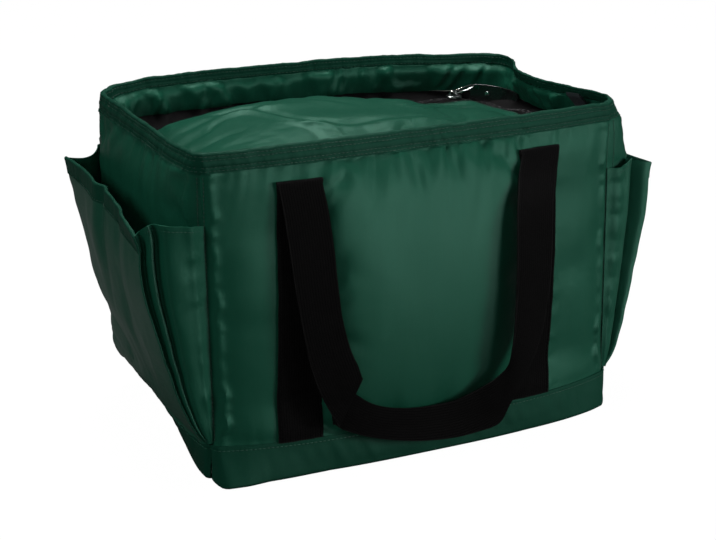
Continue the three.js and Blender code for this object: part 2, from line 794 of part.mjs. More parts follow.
function pocketPanel(sign) {
  const alongs = spread(-1, 1, 6);
  const foot = bandHeight + sewnGap;
  const heightsAt = (along) => {
    const underHem = spread(0, 1, 7).map((share) => mix(foot, pocketTopAt(along) - hemHeight, share ** 1.3));
    return [...underHem, pocketTopAt(along)];
  };
  const columns = alongs.map((along) => heightsAt(along));
  const rows = (stand) => columns[0].map((_, row) => (
    alongs.map((along, column) => pocketPoint(sign, along, columns[column][row], stand))));
  return thickSheet(rows(0), rows(-pocketSkin));
}

// Hem folded over the pocket's top edge: outer leg, top, inner leg
function pocketHem(sign) {
  const alongs = spread(-1, 1, 6);
  const path = (offset) => [
    [-hemHeight, sewnGap + offset], [sewnGap + offset, sewnGap + offset],
    [sewnGap + offset, -pocketSkin - sewnGap - offset], [-hemHeight, -pocketSkin - sewnGap - offset],
  ];
  const rows = (offset) => alongs.map((along) => path(offset).map(([rise, stand]) => (
    pocketPoint(sign, along, pocketTopAt(along) + rise, stand))));
  return thickSheet(rows(hemFold), rows(0));
}

// Gusset: from the corner seam into the pleat and out to the pocket's edge
function pocketGusset(sign, end) {
  const edgeTop = pocketTopAt(end) - hemHeight / 2;
  const pleatY = (z) => {
    const share = (z - gussetFoot) / (gussetTop - gussetFoot);
    return pocketEdge(z) - mix(pleatDepthAtFoot, pleatDepth, share);
  };
  const wallX = (y, z) => endWallX(end * y, z, 0) + gussetSkin;
  const seamY = (z) => cornerAt(z).y + end * leanAt(z) - 2;
  const innerX = (z) => pocketX(end, z, -pocketSkin - hemFold - 2 * sewnGap);
  const columns = [
    { top: gussetTop, at: (z) => [wallX(seamY(z), z), seamY(z)] },
    { top: (gussetTop + edgeTop) / 2, at: (z) => [mix(wallX(pleatY(z), z), innerX(z), 0.3), pleatY(z)] },
    { top: edgeTop, at: (z) => [innerX(z), pocketEdge(z) - sewnGap] },
  ];
  const rows = (inward) => spread(0, 1, 6).map((share) => columns.map(({ top, at }) => {
    const z = mix(gussetFoot, top, share);
    const [x, y] = at(z);
    return new THREE.Vector3(sign * x, end * (y - inward), z);
  }));
  return thickSheet(rows(0), rows(gussetSkin));
}

for (const [name, sign] of [['left', -1], ['right', 1]]) {
  addPart(`${name}_pocket_panel`, pocketPanel(sign), green);
  addPart(`${name}_pocket_hem`, pocketHem(sign), green);
  addPart(`${name}_pocket_front_gusset`, pocketGusset(sign, -1), green);
  addPart(`${name}_pocket_back_gusset`, pocketGusset(sign, 1), green);
}

export default group;
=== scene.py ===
import math
import bpy
import numpy as np
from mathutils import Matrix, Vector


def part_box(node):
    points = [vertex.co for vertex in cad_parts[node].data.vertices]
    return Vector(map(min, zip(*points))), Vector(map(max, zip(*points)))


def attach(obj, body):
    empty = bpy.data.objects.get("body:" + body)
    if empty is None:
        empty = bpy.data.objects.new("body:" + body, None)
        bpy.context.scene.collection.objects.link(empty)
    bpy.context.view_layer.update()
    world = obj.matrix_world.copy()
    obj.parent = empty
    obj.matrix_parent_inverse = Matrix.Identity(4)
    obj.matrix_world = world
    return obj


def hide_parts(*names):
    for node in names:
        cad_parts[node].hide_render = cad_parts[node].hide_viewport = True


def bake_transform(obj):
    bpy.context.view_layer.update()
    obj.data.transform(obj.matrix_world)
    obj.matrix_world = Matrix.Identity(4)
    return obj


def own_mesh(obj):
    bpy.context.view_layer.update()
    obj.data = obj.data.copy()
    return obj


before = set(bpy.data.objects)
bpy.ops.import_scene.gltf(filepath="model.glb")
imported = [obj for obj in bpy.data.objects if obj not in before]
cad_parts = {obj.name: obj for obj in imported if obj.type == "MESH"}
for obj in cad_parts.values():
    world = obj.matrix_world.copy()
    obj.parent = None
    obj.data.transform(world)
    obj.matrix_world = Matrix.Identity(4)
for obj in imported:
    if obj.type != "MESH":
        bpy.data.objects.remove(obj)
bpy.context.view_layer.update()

mm = 0.001
scene = bpy.context.scene
print("stage: frame loaded")

# Heights and places that other pieces depend on, read from the frame
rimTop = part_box("rim_hem")[1][2]
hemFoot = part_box("rim_hem")[0][2]
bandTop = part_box("base_band_front")[1][2]
lidLevel = (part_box("collar_zip_tape")[0][2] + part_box("collar_zip_tape")[1][2]) / 2
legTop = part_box("front_handle_loop")[1][2] - 2.25 * mm
lidLow, lidHigh = (np.array(corner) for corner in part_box("lid_cover"))
lidHalf = (lidHigh[:2] - lidLow[:2]) / 2
lidCentreY = (lidLow[1] + lidHigh[1]) / 2
lidTop = lidHigh[2]
lidEdgeInset = 10.2 * mm  # from the zip's middle line to the lid's edge
zipHalf = (lidHalf[0] + lidEdgeInset, lidHalf[1] + lidEdgeInset)
upAxis = np.array([0, 0, 1.0])

# The bag's form: corner seams, and how far each wall swells out between them
bagShape = {
    "footHalf": (196 * mm, 120 * mm),
    "rimHalf": (199.5 * mm, 117 * mm),
    "lean": (5 * mm, 52 * mm),  # back at the rim, and the height that stays in place
    "bellyHeight": 115 * mm,
    "broadBulge": (28 * mm, 31 * mm, 4 * mm),
    "endBulge": (5 * mm, 12 * mm, 4 * mm),
    "broadPower": 3.2,
    "endPower": 6,
    "cornerRadius": {"front": (6 * mm, 10 * mm), "back": (9 * mm, 24 * mm)},  # at the foot and at the rim
    "footRadius": 4 * mm,
    "columns": {"front": 160, "right": 92, "back": 160, "left": 92},
    "strapX": 115 * mm,
}
sides = ["front", "right", "back", "left"]


# Small helpers
def smoothStep(x, low, high):
    share = np.clip((np.asarray(x, float) - low) / (high - low), 0, 1)
    return share * share * (3 - 2 * share)


def mix(a, b, share):
    return a + (b - a) * share


def bump(x, middle, width):
    return np.exp(-((np.asarray(x, float) - middle) / width) ** 2)


def ripple(x, pitch, seed):
    knots = np.random.RandomState(seed).uniform(-1, 1, 4096)  # random heights a pitch apart, joined smoothly
    place = np.asarray(x, float) / pitch + 1000
    low = np.floor(place).astype(int)
    share = smoothStep(place - low, 0, 1)
    return mix(knots[low % 4096], knots[(low + 1) % 4096], share)


def patchNoise(x, y, pitchX, pitchY, seed):
    knots = np.random.RandomState(seed).uniform(-1, 1, (64, 64))
    x, y = np.broadcast_arrays(np.asarray(x, float) / pitchX + 900, np.asarray(y, float) / pitchY + 900)
    lowX, lowY = np.floor(x).astype(int), np.floor(y).astype(int)
    shareX, shareY = smoothStep(x - lowX, 0, 1), smoothStep(y - lowY, 0, 1)
    near = mix(knots[lowX % 64, lowY % 64], knots[(lowX + 1) % 64, lowY % 64], shareX)
    far = mix(knots[lowX % 64, (lowY + 1) % 64], knots[(lowX + 1) % 64, (lowY + 1) % 64], shareX)
    return mix(near, far, shareY)


def unit(vectors):
    return vectors / np.maximum(np.linalg.norm(vectors, axis=-1, keepdims=True), 1e-12)


def lengthsAlong(points, axis=0):
    steps = np.linalg.norm(np.diff(points, axis=axis), axis=-1)
    start = np.zeros_like(np.take(steps, [0], axis=axis))
    return np.concatenate([start, np.cumsum(steps, axis=axis)], axis=axis)


def evenly(path, count):
    length = lengthsAlong(path)
    at = np.linspace(0, length[-1], count)
    return np.stack([np.interp(at, length, path[:, k]) for k in range(path.shape[1])], -1)


# Smooth curve through all points or rows, with as many steps in each span
def splineThrough(points, perSpan, toEnd):
    points = np.asarray(points, float)
    padded = np.vstack([2 * points[0] - points[1], points, 2 * points[-1] - points[-2]])
    spans = []
    for i in range(1, len(padded) - 2):
        a, b, c, d = padded[i - 1:i + 3]
        t = np.linspace(0, 1, perSpan, endpoint=toEnd and i == len(padded) - 3)[:, None]
        spans.append(0.5 * (2 * b + (c - a) * t + (2 * a - 5 * b + 4 * c - d) * t ** 2
                            + (3 * b - a - 3 * c + d) * t ** 3))
    return np.vstack(spans)


def curveThrough(points, count):
    return evenly(splineThrough(points, 24, True), count)


def linked(name, data):
    thing = bpy.data.objects.new(name, data)
    scene.collection.objects.link(thing)
    return thing


# Camera, at the photograph's viewing angle
view = {
    "azimuth": -26.40,
    "elevation": 18.87,
    "target": (0.9 * mm, -0.5 * mm, 121.8 * mm),
    "distance": 1.779,
    "lens": 96.72,
}
cameraData = bpy.data.cameras.new("camera")
cameraData.lens = view["lens"]
cameraData.sensor_width = 36
cameraData.clip_start = 0.05
camera = linked("camera", cameraData)
turn, rise = math.radians(view["azimuth"]), math.radians(view["elevation"])
backward = np.array([math.sin(turn) * math.cos(rise), -math.cos(turn) * math.cos(rise), math.sin(rise)])
camera.location = np.array(view["target"]) + backward * view["distance"]
camera.rotation_euler = (math.pi / 2 - rise, 0, turn)
scene.camera = camera
scene.view_settings.view_transform = "Standard"


# Node helpers: groups hold the effects that several materials share, worked out from a place and a few numbers
def newGroup(name, numbers, results):
    group = bpy.data.node_groups.new(name, "ShaderNodeTree")
    group.interface.new_socket("Vector", in_out="INPUT", socket_type="NodeSocketVector")
    for label, value in numbers.items():
        group.interface.new_socket(label, in_out="INPUT", socket_type="NodeSocketFloat").default_value = value
    for label in results:
        group.interface.new_socket(label, in_out="OUTPUT", socket_type="NodeSocketFloat")
    return group, group.nodes.new("NodeGroupInput"), group.nodes.new("NodeGroupOutput")


def maths(tree, operation, *values, clamp=False):
    node = tree.nodes.new("ShaderNodeMath")
    node.operation = operation
    node.use_clamp = clamp
    for index, value in enumerate(values):
        if isinstance(value, (int, float)):
            node.inputs[index].default_value = value
        else:
            tree.links.new(value, node.inputs[index])
    return node.outputs[0]


def noise(tree, vector, scale, detail=3, roughness=0.5):
    node = tree.nodes.new("ShaderNodeTexNoise")
    node.inputs["Detail"].default_value = detail
    node.inputs["Roughness"].default_value = roughness
    tree.links.new(vector, node.inputs["Vector"])
    if isinstance(scale, (int, float)):
        node.inputs["Scale"].default_value = scale
    else:
        tree.links.new(scale, node.inputs["Scale"])
    return node.outputs["Fac"]


def stretched(tree, vector, factors):
    node = tree.nodes.new("ShaderNodeVectorMath")
    node.operation = "MULTIPLY"
    tree.links.new(vector, node.inputs[0])
    node.inputs[1].default_value = factors
    return node.outputs[0]


def parted(tree, vector):
    node = tree.nodes.new("ShaderNodeSeparateXYZ")
    tree.links.new(vector, node.inputs[0])
    return node.outputs


def blended(tree, factor, first, second):
    node = tree.nodes.new("ShaderNodeMix")
    node.data_type = "RGBA"
    node.clamp_factor = True
    inputs = node.inputs
    for socket, value in ((inputs["Factor"], factor), (inputs["A"], first), (inputs["B"], second)):
        if isinstance(value, (int, float)):
            socket.default_value = value
        elif isinstance(value, tuple):
            socket.default_value = (*value, 1)
        else:
            tree.links.new(value, socket)
    return node.outputs["Result"]


def ranged(tree, value, low, high, toLow, toHigh):
    node = tree.nodes.new("ShaderNodeMapRange")
    tree.links.new(value, node.inputs["Value"])
    for label, number in (("From Min", low), ("From Max", high), ("To Min", toLow), ("To Max", toHigh)):
        node.inputs[label].default_value = number
    return node.outputs["Result"]


def arches(tree, value):
    return maths(tree, "ABSOLUTE", maths(tree, "SINE", maths(tree, "MULTIPLY", value, math.pi)))


def weaveGroup():
    group, given, out = newGroup("wovenThreads", {"Threads": 2200}, ["Height", "Tone"])
    x, y, _ = parted(group, given.outputs["Vector"])
    acrossX = maths(group, "MULTIPLY", x, given.outputs["Threads"])
    acrossY = maths(group, "MULTIPLY", y, given.outputs["Threads"])
    roundX, roundY = arches(group, acrossX), arches(group, acrossY)
    checker = maths(group, "ADD", maths(group, "FLOOR", acrossX), maths(group, "FLOOR", acrossY))
    over = maths(group, "MODULO", maths(group, "ADD", checker, 20000), 2)  # warp over weft, then under
    warp = maths(group, "MULTIPLY", roundX, over)
    weft = maths(group, "MULTIPLY", roundY, maths(group, "SUBTRACT", 1, over))
    group.links.new(maths(group, "ADD", warp, weft), out.inputs["Height"])
    slub = noise(group, stretched(group, given.outputs["Vector"], (900, 25, 1)), 1, 2)
    group.links.new(slub, out.inputs["Tone"])
    return group


def creaseGroup():
    group, given, out = newGroup("softCreases", {"Scale": 60}, ["Height"])
    broad = noise(group, given.outputs["Vector"], given.outputs["Scale"], 4, 0.55)
    ridge = maths(group, "ABSOLUTE", maths(group, "SUBTRACT", broad, 0.5))
    group.links.new(maths(group, "SUBTRACT", 1, maths(group, "MULTIPLY", ridge, 3)), out.inputs["Height"])
    return group


def drapeGroup():
    group, given, out = newGroup("softDrape", {"Scale": 30}, ["Height"])
    tall = stretched(group, given.outputs["Vector"], (1, 1, 0.4))
    broad = noise(group, tall, given.outputs["Scale"], 1.5, 0.4)
    group.links.new(broad, out.inputs["Height"])
    return group


def wearGroup():
    group, given, out = newGroup("edgeWear", {"Start": 0.53}, ["Mask"])
    shape = group.nodes.new("ShaderNodeNewGeometry")
    above = maths(group, "SUBTRACT", shape.outputs["Pointiness"], given.outputs["Start"])
    rubbed = maths(group, "MULTIPLY", above, 14, clamp=True)
    patchy = noise(group, given.outputs["Vector"], 120, 4, 0.6)
    group.links.new(maths(group, "MULTIPLY", rubbed, patchy, clamp=True), out.inputs["Mask"])
    return group


def toneGroup():
    group, given, out = newGroup("unevenTone", {"Scale": 9}, ["Cloud", "Lint"])
    group.links.new(noise(group, given.outputs["Vector"], given.outputs["Scale"], 5, 0.6), out.inputs["Cloud"])
    speck = noise(group, given.outputs["Vector"], 900, 2, 0.7)
    group.links.new(ranged(group, speck, 0.68, 0.8, 0, 1), out.inputs["Lint"])
    return group


def webbingGroup():
    group, given, out = newGroup("webbingKnit", {"Ribs": 215}, ["Height", "Groove"])
    x, y, _ = parted(group, given.outputs["Vector"])
    across = maths(group, "MULTIPLY", x, given.outputs["Ribs"])
    inRib = maths(group, "SUBTRACT", maths(group, "FRACT", maths(group, "ADD", across, 50)), 0.5)
    side = maths(group, "ABSOLUTE", inRib)
    ribHeight = maths(group, "SUBTRACT", 1, maths(group, "POWER", maths(group, "MULTIPLY", side, 2), 4))
    slant = maths(group, "ADD", maths(group, "MULTIPLY", y, 620), maths(group, "MULTIPLY", side, 1.3))
    thread = maths(group, "ADD", 0.45, maths(group, "MULTIPLY", arches(group, slant), 0.55))
    group.links.new(maths(group, "MULTIPLY", ribHeight, thread), out.inputs["Height"])
    group.links.new(ribHeight, out.inputs["Groove"])
    return group


weaveNodes, creaseNodes, drapeNodes, wearNodes = weaveGroup(), creaseGroup(), drapeGroup(), wearGroup()
toneNodes, webbingNodes = toneGroup(), webbingGroup()


def placed(tree, group, vector, **values):
    node = tree.nodes.new("ShaderNodeGroup")
    node.node_tree = group
    tree.links.new(vector, node.inputs["Vector"])
    for label, value in values.items():
        node.inputs[label].default_value = value
    return node.outputs


def newMaterial(name, plain):
    material = bpy.data.materials.new(name)
    material.use_nodes = True
    tree = material.node_tree
    tree.nodes.clear()
    shader = tree.nodes.new("ShaderNodeBsdfPrincipled")
    out = tree.nodes.new("ShaderNodeOutputMaterial")
    tree.links.new(shader.outputs[0], out.inputs[0])
    for label, value in plain.items():
        shader.inputs[label].default_value = value
    where = tree.nodes.new("ShaderNodeTexCoord")
    return material, tree, shader, where.outputs["UV"], where.outputs["Object"]


def addBumps(tree, shader, *layers):
    previous = None  # layers are (height, distance in metres, strength), coarse first
    for height, distance, strength in layers:
        node = tree.nodes.new("ShaderNodeBump")
        node.inputs["Distance"].default_value = distance
        node.inputs["Strength"].default_value = strength
        tree.links.new(height, node.inputs["Height"])
        if previous:
            tree.links.new(previous, node.inputs["Normal"])
        previous = node.outputs[0]
    tree.links.new(previous, shader.inputs["Normal"])


def paint(tree, shader, colour, roughness):
    tree.links.new(colour, shader.inputs["Base Color"])
    tree.links.new(roughness, shader.inputs["Roughness"])


def tinted(tree, mask, strength, colour, other):
    return blended(tree, maths(tree, "MULTIPLY", mask, strength), colour, other)


# Fabrics
nylonLook = {
    "colour": (0.0028, 0.0330, 0.0187),
    "shade": (0.0019, 0.0245, 0.0136),
    "worn": (0.009, 0.056, 0.035),
    "roughness": (0.33, 0.45),
    "threads": 2300,
    "ior": 1.28,
}
# Doubled cloth, as in the hem and the band: its darker colours are painted shade, standing in for the shade among
# its puckers
paintedShadeNylonLook = {
    **nylonLook,
    "colour": (0.0018, 0.0205, 0.0118),
    "shade": (0.0013, 0.0155, 0.0088),
    "worn": (0.006, 0.036, 0.023),
    "roughness": (0.5, 0.62),
    "ior": 1.2,
}


def greenNylon(name, look, creaseScale, creaseDepth):
    plain = {"Specular IOR Level": 0.5, "IOR": look["ior"], "Specular Tint": (0.38, 1.0, 0.74, 1)}
    material, tree, shader, uv, place = newMaterial(name, plain)
    weave = placed(tree, weaveNodes, uv, Threads=look["threads"])
    drape = placed(tree, drapeNodes, place, Scale=creaseScale)
    fine = placed(tree, creaseNodes, place, Scale=creaseScale * 4)
    tone = placed(tree, toneNodes, place, Scale=11)
    wear = placed(tree, wearNodes, place, Start=0.54)
    colour = blended(tree, tone["Cloud"], look["shade"], look["colour"])
    colour = tinted(tree, weave["Tone"], 0.25, colour, look["worn"])
    colour = tinted(tree, wear["Mask"], 0.35, colour, look["worn"])
    colour = tinted(tree, tone["Lint"], 0.12, colour, (0.3, 0.34, 0.31))
    paint(tree, shader, colour, ranged(tree, tone["Cloud"], 0.2, 0.8, *look["roughness"]))
    addBumps(tree, shader, (drape["Height"], creaseDepth * 2.5, 0.7), (fine["Height"], creaseDepth * 0.1, 0.5),
             (weave["Height"], 0.08 * mm, 0.5))
    return material


def blackWebbing():
    material, tree, shader, uv, place = newMaterial("webbing", {"Specular IOR Level": 0.04, "IOR": 1.2})
    knit = placed(tree, webbingNodes, uv, Ribs=440)
    tone = placed(tree, toneNodes, place, Scale=40)
    wear = placed(tree, wearNodes, place, Start=0.55)
    # Darker where the knit lies low, in the grooves between ribs and threads: painted shade
    colour = blended(tree, knit["Height"], (0.0008, 0.0008, 0.0009), (0.0034, 0.0033, 0.0033))
    colour = tinted(tree, tone["Lint"], 0.05, colour, (0.12, 0.12, 0.12))
    colour = tinted(tree, wear["Mask"], 0.3, colour, (0.03, 0.03, 0.03))
    paint(tree, shader, colour, ranged(tree, tone["Cloud"], 0, 1, 0.62, 0.8))
    addBumps(tree, shader, (knit["Height"], 0.3 * mm, 1.0))
    return material


def plainWoven(name, colour, roughness, threads, bumpHeight, specular=0.3):
    material, tree, shader, uv, place = newMaterial(name, {"Specular IOR Level": specular})
    weave = placed(tree, weaveNodes, uv, Threads=threads)
    tone = placed(tree, toneNodes, place, Scale=30)
    # Darker between the threads, painted shade, and in random cloudy patches
    darker = tuple(0.55 * value for value in colour)
    threads, cloud = maths(tree, "MULTIPLY", weave["Height"], 0.6), maths(tree, "MULTIPLY", tone["Cloud"], 0.4)
    gapShadeAndTone = maths(tree, "ADD", threads, cloud)
    paint(tree, shader, blended(tree, gapShadeAndTone, darker, colour),
          ranged(tree, tone["Cloud"], 0, 1, roughness - 0.06, roughness + 0.06))
    addBumps(tree, shader, (weave["Height"], bumpHeight, 0.8))
    return material


def brightMetal():
    material, tree, shader, _, place = newMaterial("chromedZinc", {"Metallic": 1.0, "Specular IOR Level": 0.5})
    wear = placed(tree, wearNodes, place, Start=0.56)
    haze = noise(tree, place, 700, 4, 0.6)
    paint(tree, shader, blended(tree, wear["Mask"], (0.62, 0.63, 0.64), (0.5, 0.47, 0.42)),
          ranged(tree, haze, 0.3, 0.7, 0.12, 0.3))
    addBumps(tree, shader, (haze, 0.03 * mm, 0.4))
    return material


def foilFilm():
    material, tree, shader, _, place = newMaterial("foilLining", {"Metallic": 0.75, "Specular IOR Level": 0.6})
    broad = tree.nodes.new("ShaderNodeTexVoronoi")
    broad.feature = "DISTANCE_TO_EDGE"
    broad.inputs["Scale"].default_value = 55
    tree.links.new(place, broad.inputs["Vector"])
    crease = placed(tree, creaseNodes, place, Scale=45)
    tone = placed(tree, toneNodes, place, Scale=15)
    paint(tree, shader, blended(tree, tone["Cloud"], (0.52, 0.54, 0.56), (0.68, 0.69, 0.70)),
          ranged(tree, tone["Cloud"], 0.2, 0.8, 0.24, 0.36))
    addBumps(tree, shader, (crease["Height"], 1.2 * mm, 0.5), (broad.outputs["Distance"], 1.0 * mm, 0.35))
    return material


def speckled(name, colour, roughness, scale, bumpHeight):
    material, tree, shader, _, place = newMaterial(name, {"Specular IOR Level": 0.25})
    cells = noise(tree, place, scale, 3, 0.7)
    darker = tuple(0.75 * value for value in colour)
    paint(tree, shader, blended(tree, cells, darker, colour),
          ranged(tree, cells, 0.2, 0.8, roughness - 0.08, roughness + 0.08))
    addBumps(tree, shader, (cells, bumpHeight, 0.7))
    return material


def patentStrap():
    plain = {"Specular IOR Level": 0.5, "Coat Roughness": 0.12}
    material, tree, shader, _, place = newMaterial("patentStrap", plain)
    grain = noise(tree, place, 900, 3, 0.6)
    tone = placed(tree, toneNodes, place, Scale=40)
    paint(tree, shader, blended(tree, tone["Cloud"], (0.001, 0.001, 0.0012), (0.003, 0.003, 0.0032)),
          ranged(tree, tone["Cloud"], 0.2, 0.8, 0.2, 0.34))
    tree.links.new(ranged(tree, tone["Cloud"], 0, 1, 0.5, 0.7), shader.inputs["Coat Weight"])
    addBumps(tree, shader, (grain, 0.05 * mm, 0.35))
    return material


looks = {
    "panel": greenNylon("nylonPanel", nylonLook, 26, 1.0 * mm),
    # The hem and the band take the darker colours of painted shade
    "hem": greenNylon("nylonHem", paintedShadeNylonLook, 110, 0.8 * mm),
    "band": greenNylon("nylonBand", paintedShadeNylonLook, 40, 0.8 * mm),
    "collar": greenNylon("nylonCollar", nylonLook, 60, 1.2 * mm),
    "webbing": blackWebbing(),
    "tape": plainWoven("zipTapeWeave", (0.0034, 0.0032, 0.0034), 0.8, 900, 0.15 * mm, 0.06),
    "coil": speckled("zipCoilNylon", (0.008, 0.008, 0.009), 0.4, 300, 0.05 * mm),
    "ribbon": plainWoven("ribbonWeave", (0.030, 0.031, 0.036), 0.45, 1400, 0.1 * mm, 0.5),
    "metal": brightMetal(),
    "strap": patentStrap(),
    "foil": foilFilm(),
    "foam": speckled("foamPad", (0.72, 0.71, 0.66), 0.9, 500, 0.3 * mm),
    "board": speckled("stiffBoard", (0.12, 0.125, 0.13), 0.75, 260, 0.15 * mm),
    # One green thread in two tones: the darker is painted shade on the hem, corner seam and pocket hem stitches, the
    # lighter a painted highlight on the rest
    "shadedThread": plainWoven("stitchPaintedShade", (0.006, 0.034, 0.021), 0.6, 3000, 0.05 * mm, 0.3),
    "thread": plainWoven("stitchPaintedHighlight", (0.014, 0.062, 0.040), 0.6, 3000, 0.05 * mm, 0.3),
    "darkThread": plainWoven("blackThread", (0.003, 0.003, 0.003), 0.8, 3000, 0.05 * mm, 0.05),
}
print("stage: materials ready")


# Mesh helpers: a corner that a face names twice is dropped
def meshOf(name, verts, quads):
    mesh = bpy.data.meshes.new(name)
    faces = [[v for i, v in enumerate(face) if v != face[i - 1]] for face in quads.tolist()]
    mesh.from_pydata(verts.tolist(), [], faces)
    return mesh


def makePiece(name, verts, quads, look, body, slot=None, replaces=(), loopUvs=None, angle=50):
    verts = np.asarray(verts, float).reshape(-1, 3)
    quads = np.asarray(quads, int)
    a, b, c, d = (verts[quads[:, k]] for k in range(4))
    volume = np.einsum("ij,ij->i", a, np.cross(b, c)).sum() + np.einsum("ij,ij->i", a, np.cross(c, d)).sum()
    if volume < 0:
        quads = quads[:, ::-1]
        loopUvs = None if loopUvs is None else loopUvs[:, ::-1]
    mesh = meshOf(name, verts, quads)
    layer = mesh.uv_layers.new(name="UVMap")
    if loopUvs is None:
        flat = verts[[loop.vertex_index for loop in mesh.loops]]
        uvs = np.stack([flat[:, 0] + flat[:, 1], flat[:, 2]], -1)
    else:
        keep = [[i for i, v in enumerate(face) if v != face[i - 1]] for face in quads.tolist()]
        uvs = np.concatenate([loopUvs[f][k] for f, k in enumerate(keep)])
    layer.data.foreach_set("uv", uvs.ravel())
    mesh.shade_smooth()
    mesh.set_sharp_from_angle(angle=math.radians(angle))
    mesh.validate()
    piece = linked(name, mesh)
    mesh.materials.append(looks[look])
    if body:
        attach(piece, body)
    if replaces:
        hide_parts(*replaces)
    return piece


def gridQuads(rows, columns, closeRows, closeColumns):
    r = np.arange(rows if closeRows else rows - 1)
    c = np.arange(columns if closeColumns else columns - 1)
    r, c = (x.ravel() for x in np.meshgrid(r, c, indexing="ij"))
    corners = [(r, c), (r, c + 1), (r + 1, c + 1), (r + 1, c)]
    quads = np.stack([(i % rows) * columns + (j % columns) for i, j in corners], -1)
    return quads, np.stack([np.stack([i, j], -1) for i, j in corners], 1)


def closedSheet(name, face, back, look, body, closeColumns=False, uvTurn=False, **more):
    rows, columns = face.shape[:2]  # a thin sheet: face, back and the edges between them
    points = np.concatenate([face, back[::-1]], 0)
    quads, index = gridQuads(2 * rows, columns, True, closeColumns)
    wide = np.concatenate([face, face[:, :1]], 1)
    u, v = lengthsAlong(wide, 1), lengthsAlong(wide, 0)
    u, v = u - u.mean(axis=1, keepdims=True), v[:, columns // 2:columns // 2 + 1] + 0 * u
    grid = np.stack([v, u] if uvTurn else [u, v], -1)
    grid = np.concatenate([grid, grid[::-1], grid[:1]], 0)
    uvs = grid[index[..., 0], index[..., 1]]
    if not closeColumns:
        r = np.arange(rows - 1)
        caps = np.stack([r, r + 1, 2 * rows - 2 - r, 2 * rows - 1 - r], -1)
        for column, cap in ((0, caps), (columns - 1, caps[:, ::-1])):
            quads = np.concatenate([quads, cap * columns + column])
            uvs = np.concatenate([uvs, grid[cap, column]])
    return makePiece(name, points, quads, look, body, loopUvs=uvs, **more)


def rowNormals(points):
    along = np.gradient(points, axis=0)
    across = np.gradient(points, axis=1)
    return unit(np.cross(across, along))


def thickened(name, middle, thickness, look, body, **more):
    half = rowNormals(middle) * thickness / 2
    return closedSheet(name, middle + half, middle - half, look, body, **more)


def tube(path, radius, sideCount=8, closed=False, squash=(1, 1)):
    path = np.asarray(path, float)
    tangent = unit(np.gradient(path, axis=0) if not closed else np.roll(path, -1, 0) - np.roll(path, 1, 0))
    normal = np.zeros_like(path)
    guess = np.array([0, 0, 1.0]) if abs(tangent[0][2]) < 0.9 else np.array([1.0, 0, 0])
    for i in range(len(path)):
        guess = guess - tangent[i] * guess.dot(tangent[i])
        guess /= np.linalg.norm(guess)
        normal[i] = guess
    binormal = np.cross(tangent, normal)
    angle = np.linspace(0, 2 * math.pi, sideCount, endpoint=False)[None, :, None]
    radius = np.broadcast_to(np.asarray(radius, float), len(path))[:, None, None]
    around = np.cos(angle) * normal[:, None] * squash[0] + np.sin(angle) * binormal[:, None] * squash[1]
    points = path[:, None] + radius * around
    quads, _ = gridQuads(len(path), sideCount, closed, True)
    verts = points.reshape(-1, 3)
    if not closed:  # rounded ends drawn in to a point
        verts = np.concatenate([verts, path[:1], path[-1:]])
        ring = np.arange(sideCount)
        following = (ring + 1) % sideCount
        last = (len(path) - 1) * sideCount
        start, end = ring * 0 + len(verts) - 2, ring * 0 + len(verts) - 1
        quads = np.concatenate([quads, np.stack([ring, start, following, following], -1),
                                np.stack([last + ring, last + following, end, end], -1)])
    return verts, quads


def merged(parts):
    verts, quads, count = [], [], 0
    for v, q in parts:
        verts.append(v)
        quads.append(q + count)
        count += len(v)
    return np.concatenate(verts), np.concatenate(quads)


# Stitches: short rounded threads laid along a seam, gathered into one piece per body and thread
sewnRows = {}
stitchSize = {"length": 2.9 * mm, "pitch": 3.8 * mm, "radius": 0.33 * mm}


def sew(key, path, normals, **sizes):
    size = {**stitchSize, **sizes}
    length = lengthsAlong(path)
    count = max(1, int(length[-1] / size["pitch"]))
    shares = np.array([0, 0.12, 0.5, 0.88, 1]) * size["length"]
    lift = np.array([-0.9, 0.35, 0.8, 0.35, -0.9]) * size["radius"]
    starts = np.arange(count) * size["pitch"] + (length[-1] - count * size["pitch"]) / 2
    at = (starts[:, None] + shares[None]).ravel()
    spot = np.stack([np.interp(at, length, path[:, k]) for k in range(3)], -1).reshape(count, 5, 3)
    up = unit(np.stack([np.interp(at, length, normals[:, k]) for k in range(3)], -1)).reshape(count, 5, 3)
    along = unit(spot[:, -1] - spot[:, 0])[:, None]
    across = np.cross(along, up)
    turn = np.linspace(0, 2 * math.pi, 6, endpoint=False)
    wide = np.array([0.25, 0.9, 1, 0.9, 0.25]) * size["radius"]
    centre = spot + up * lift[None, :, None]
    cosine, sine = np.cos(turn)[None, None, :, None], np.sin(turn)[None, None, :, None]
    circle = cosine * up[:, :, None] + sine * across[:, :, None]
    points = centre[:, :, None] + wide[None, :, None, None] * circle
    quads, _ = gridQuads(5, 6, False, True)
    caps = np.array([[0, 1, 2, 3], [0, 3, 4, 5], [27, 26, 25, 24], [29, 28, 27, 24]])
    one = np.concatenate([quads, caps])
    every = (one[None] + (np.arange(count) * 30)[:, None, None]).reshape(-1, 4)
    sewnRows.setdefault(key, []).append((points.reshape(-1, 3), every))


# Walls: the bulging form between the corner seams, then what the cloth does to it
def cornerAt(z):
    share = z / rimTop
    foot, rim = bagShape["footHalf"], bagShape["rimHalf"]
    return mix(foot[0], rim[0], share), mix(foot[1], rim[1], share)
def isBroad(side):
    return side in ("front", "back")


def halfWidth(side, z):
    return cornerAt(z)[0 if isBroad(side) else 1]

def leanAt(z):
    return bagShape["lean"][0] * (np.asarray(z) - bagShape["lean"][1]) / rimTop


def alongEnd(y, z):
    return (y - leanAt(z)) / cornerAt(z)[1]


def bulgeAt(z, levels):
    base, belly, rim = levels
    low = mix(base, belly, smoothStep(z, 0, bagShape["bellyHeight"]))
    share = np.clip((z - bagShape["bellyHeight"]) / (rimTop - bagShape["bellyHeight"]), 0, 1)
    return np.where(z < bagShape["bellyHeight"], low, mix(belly, rim, share * share))


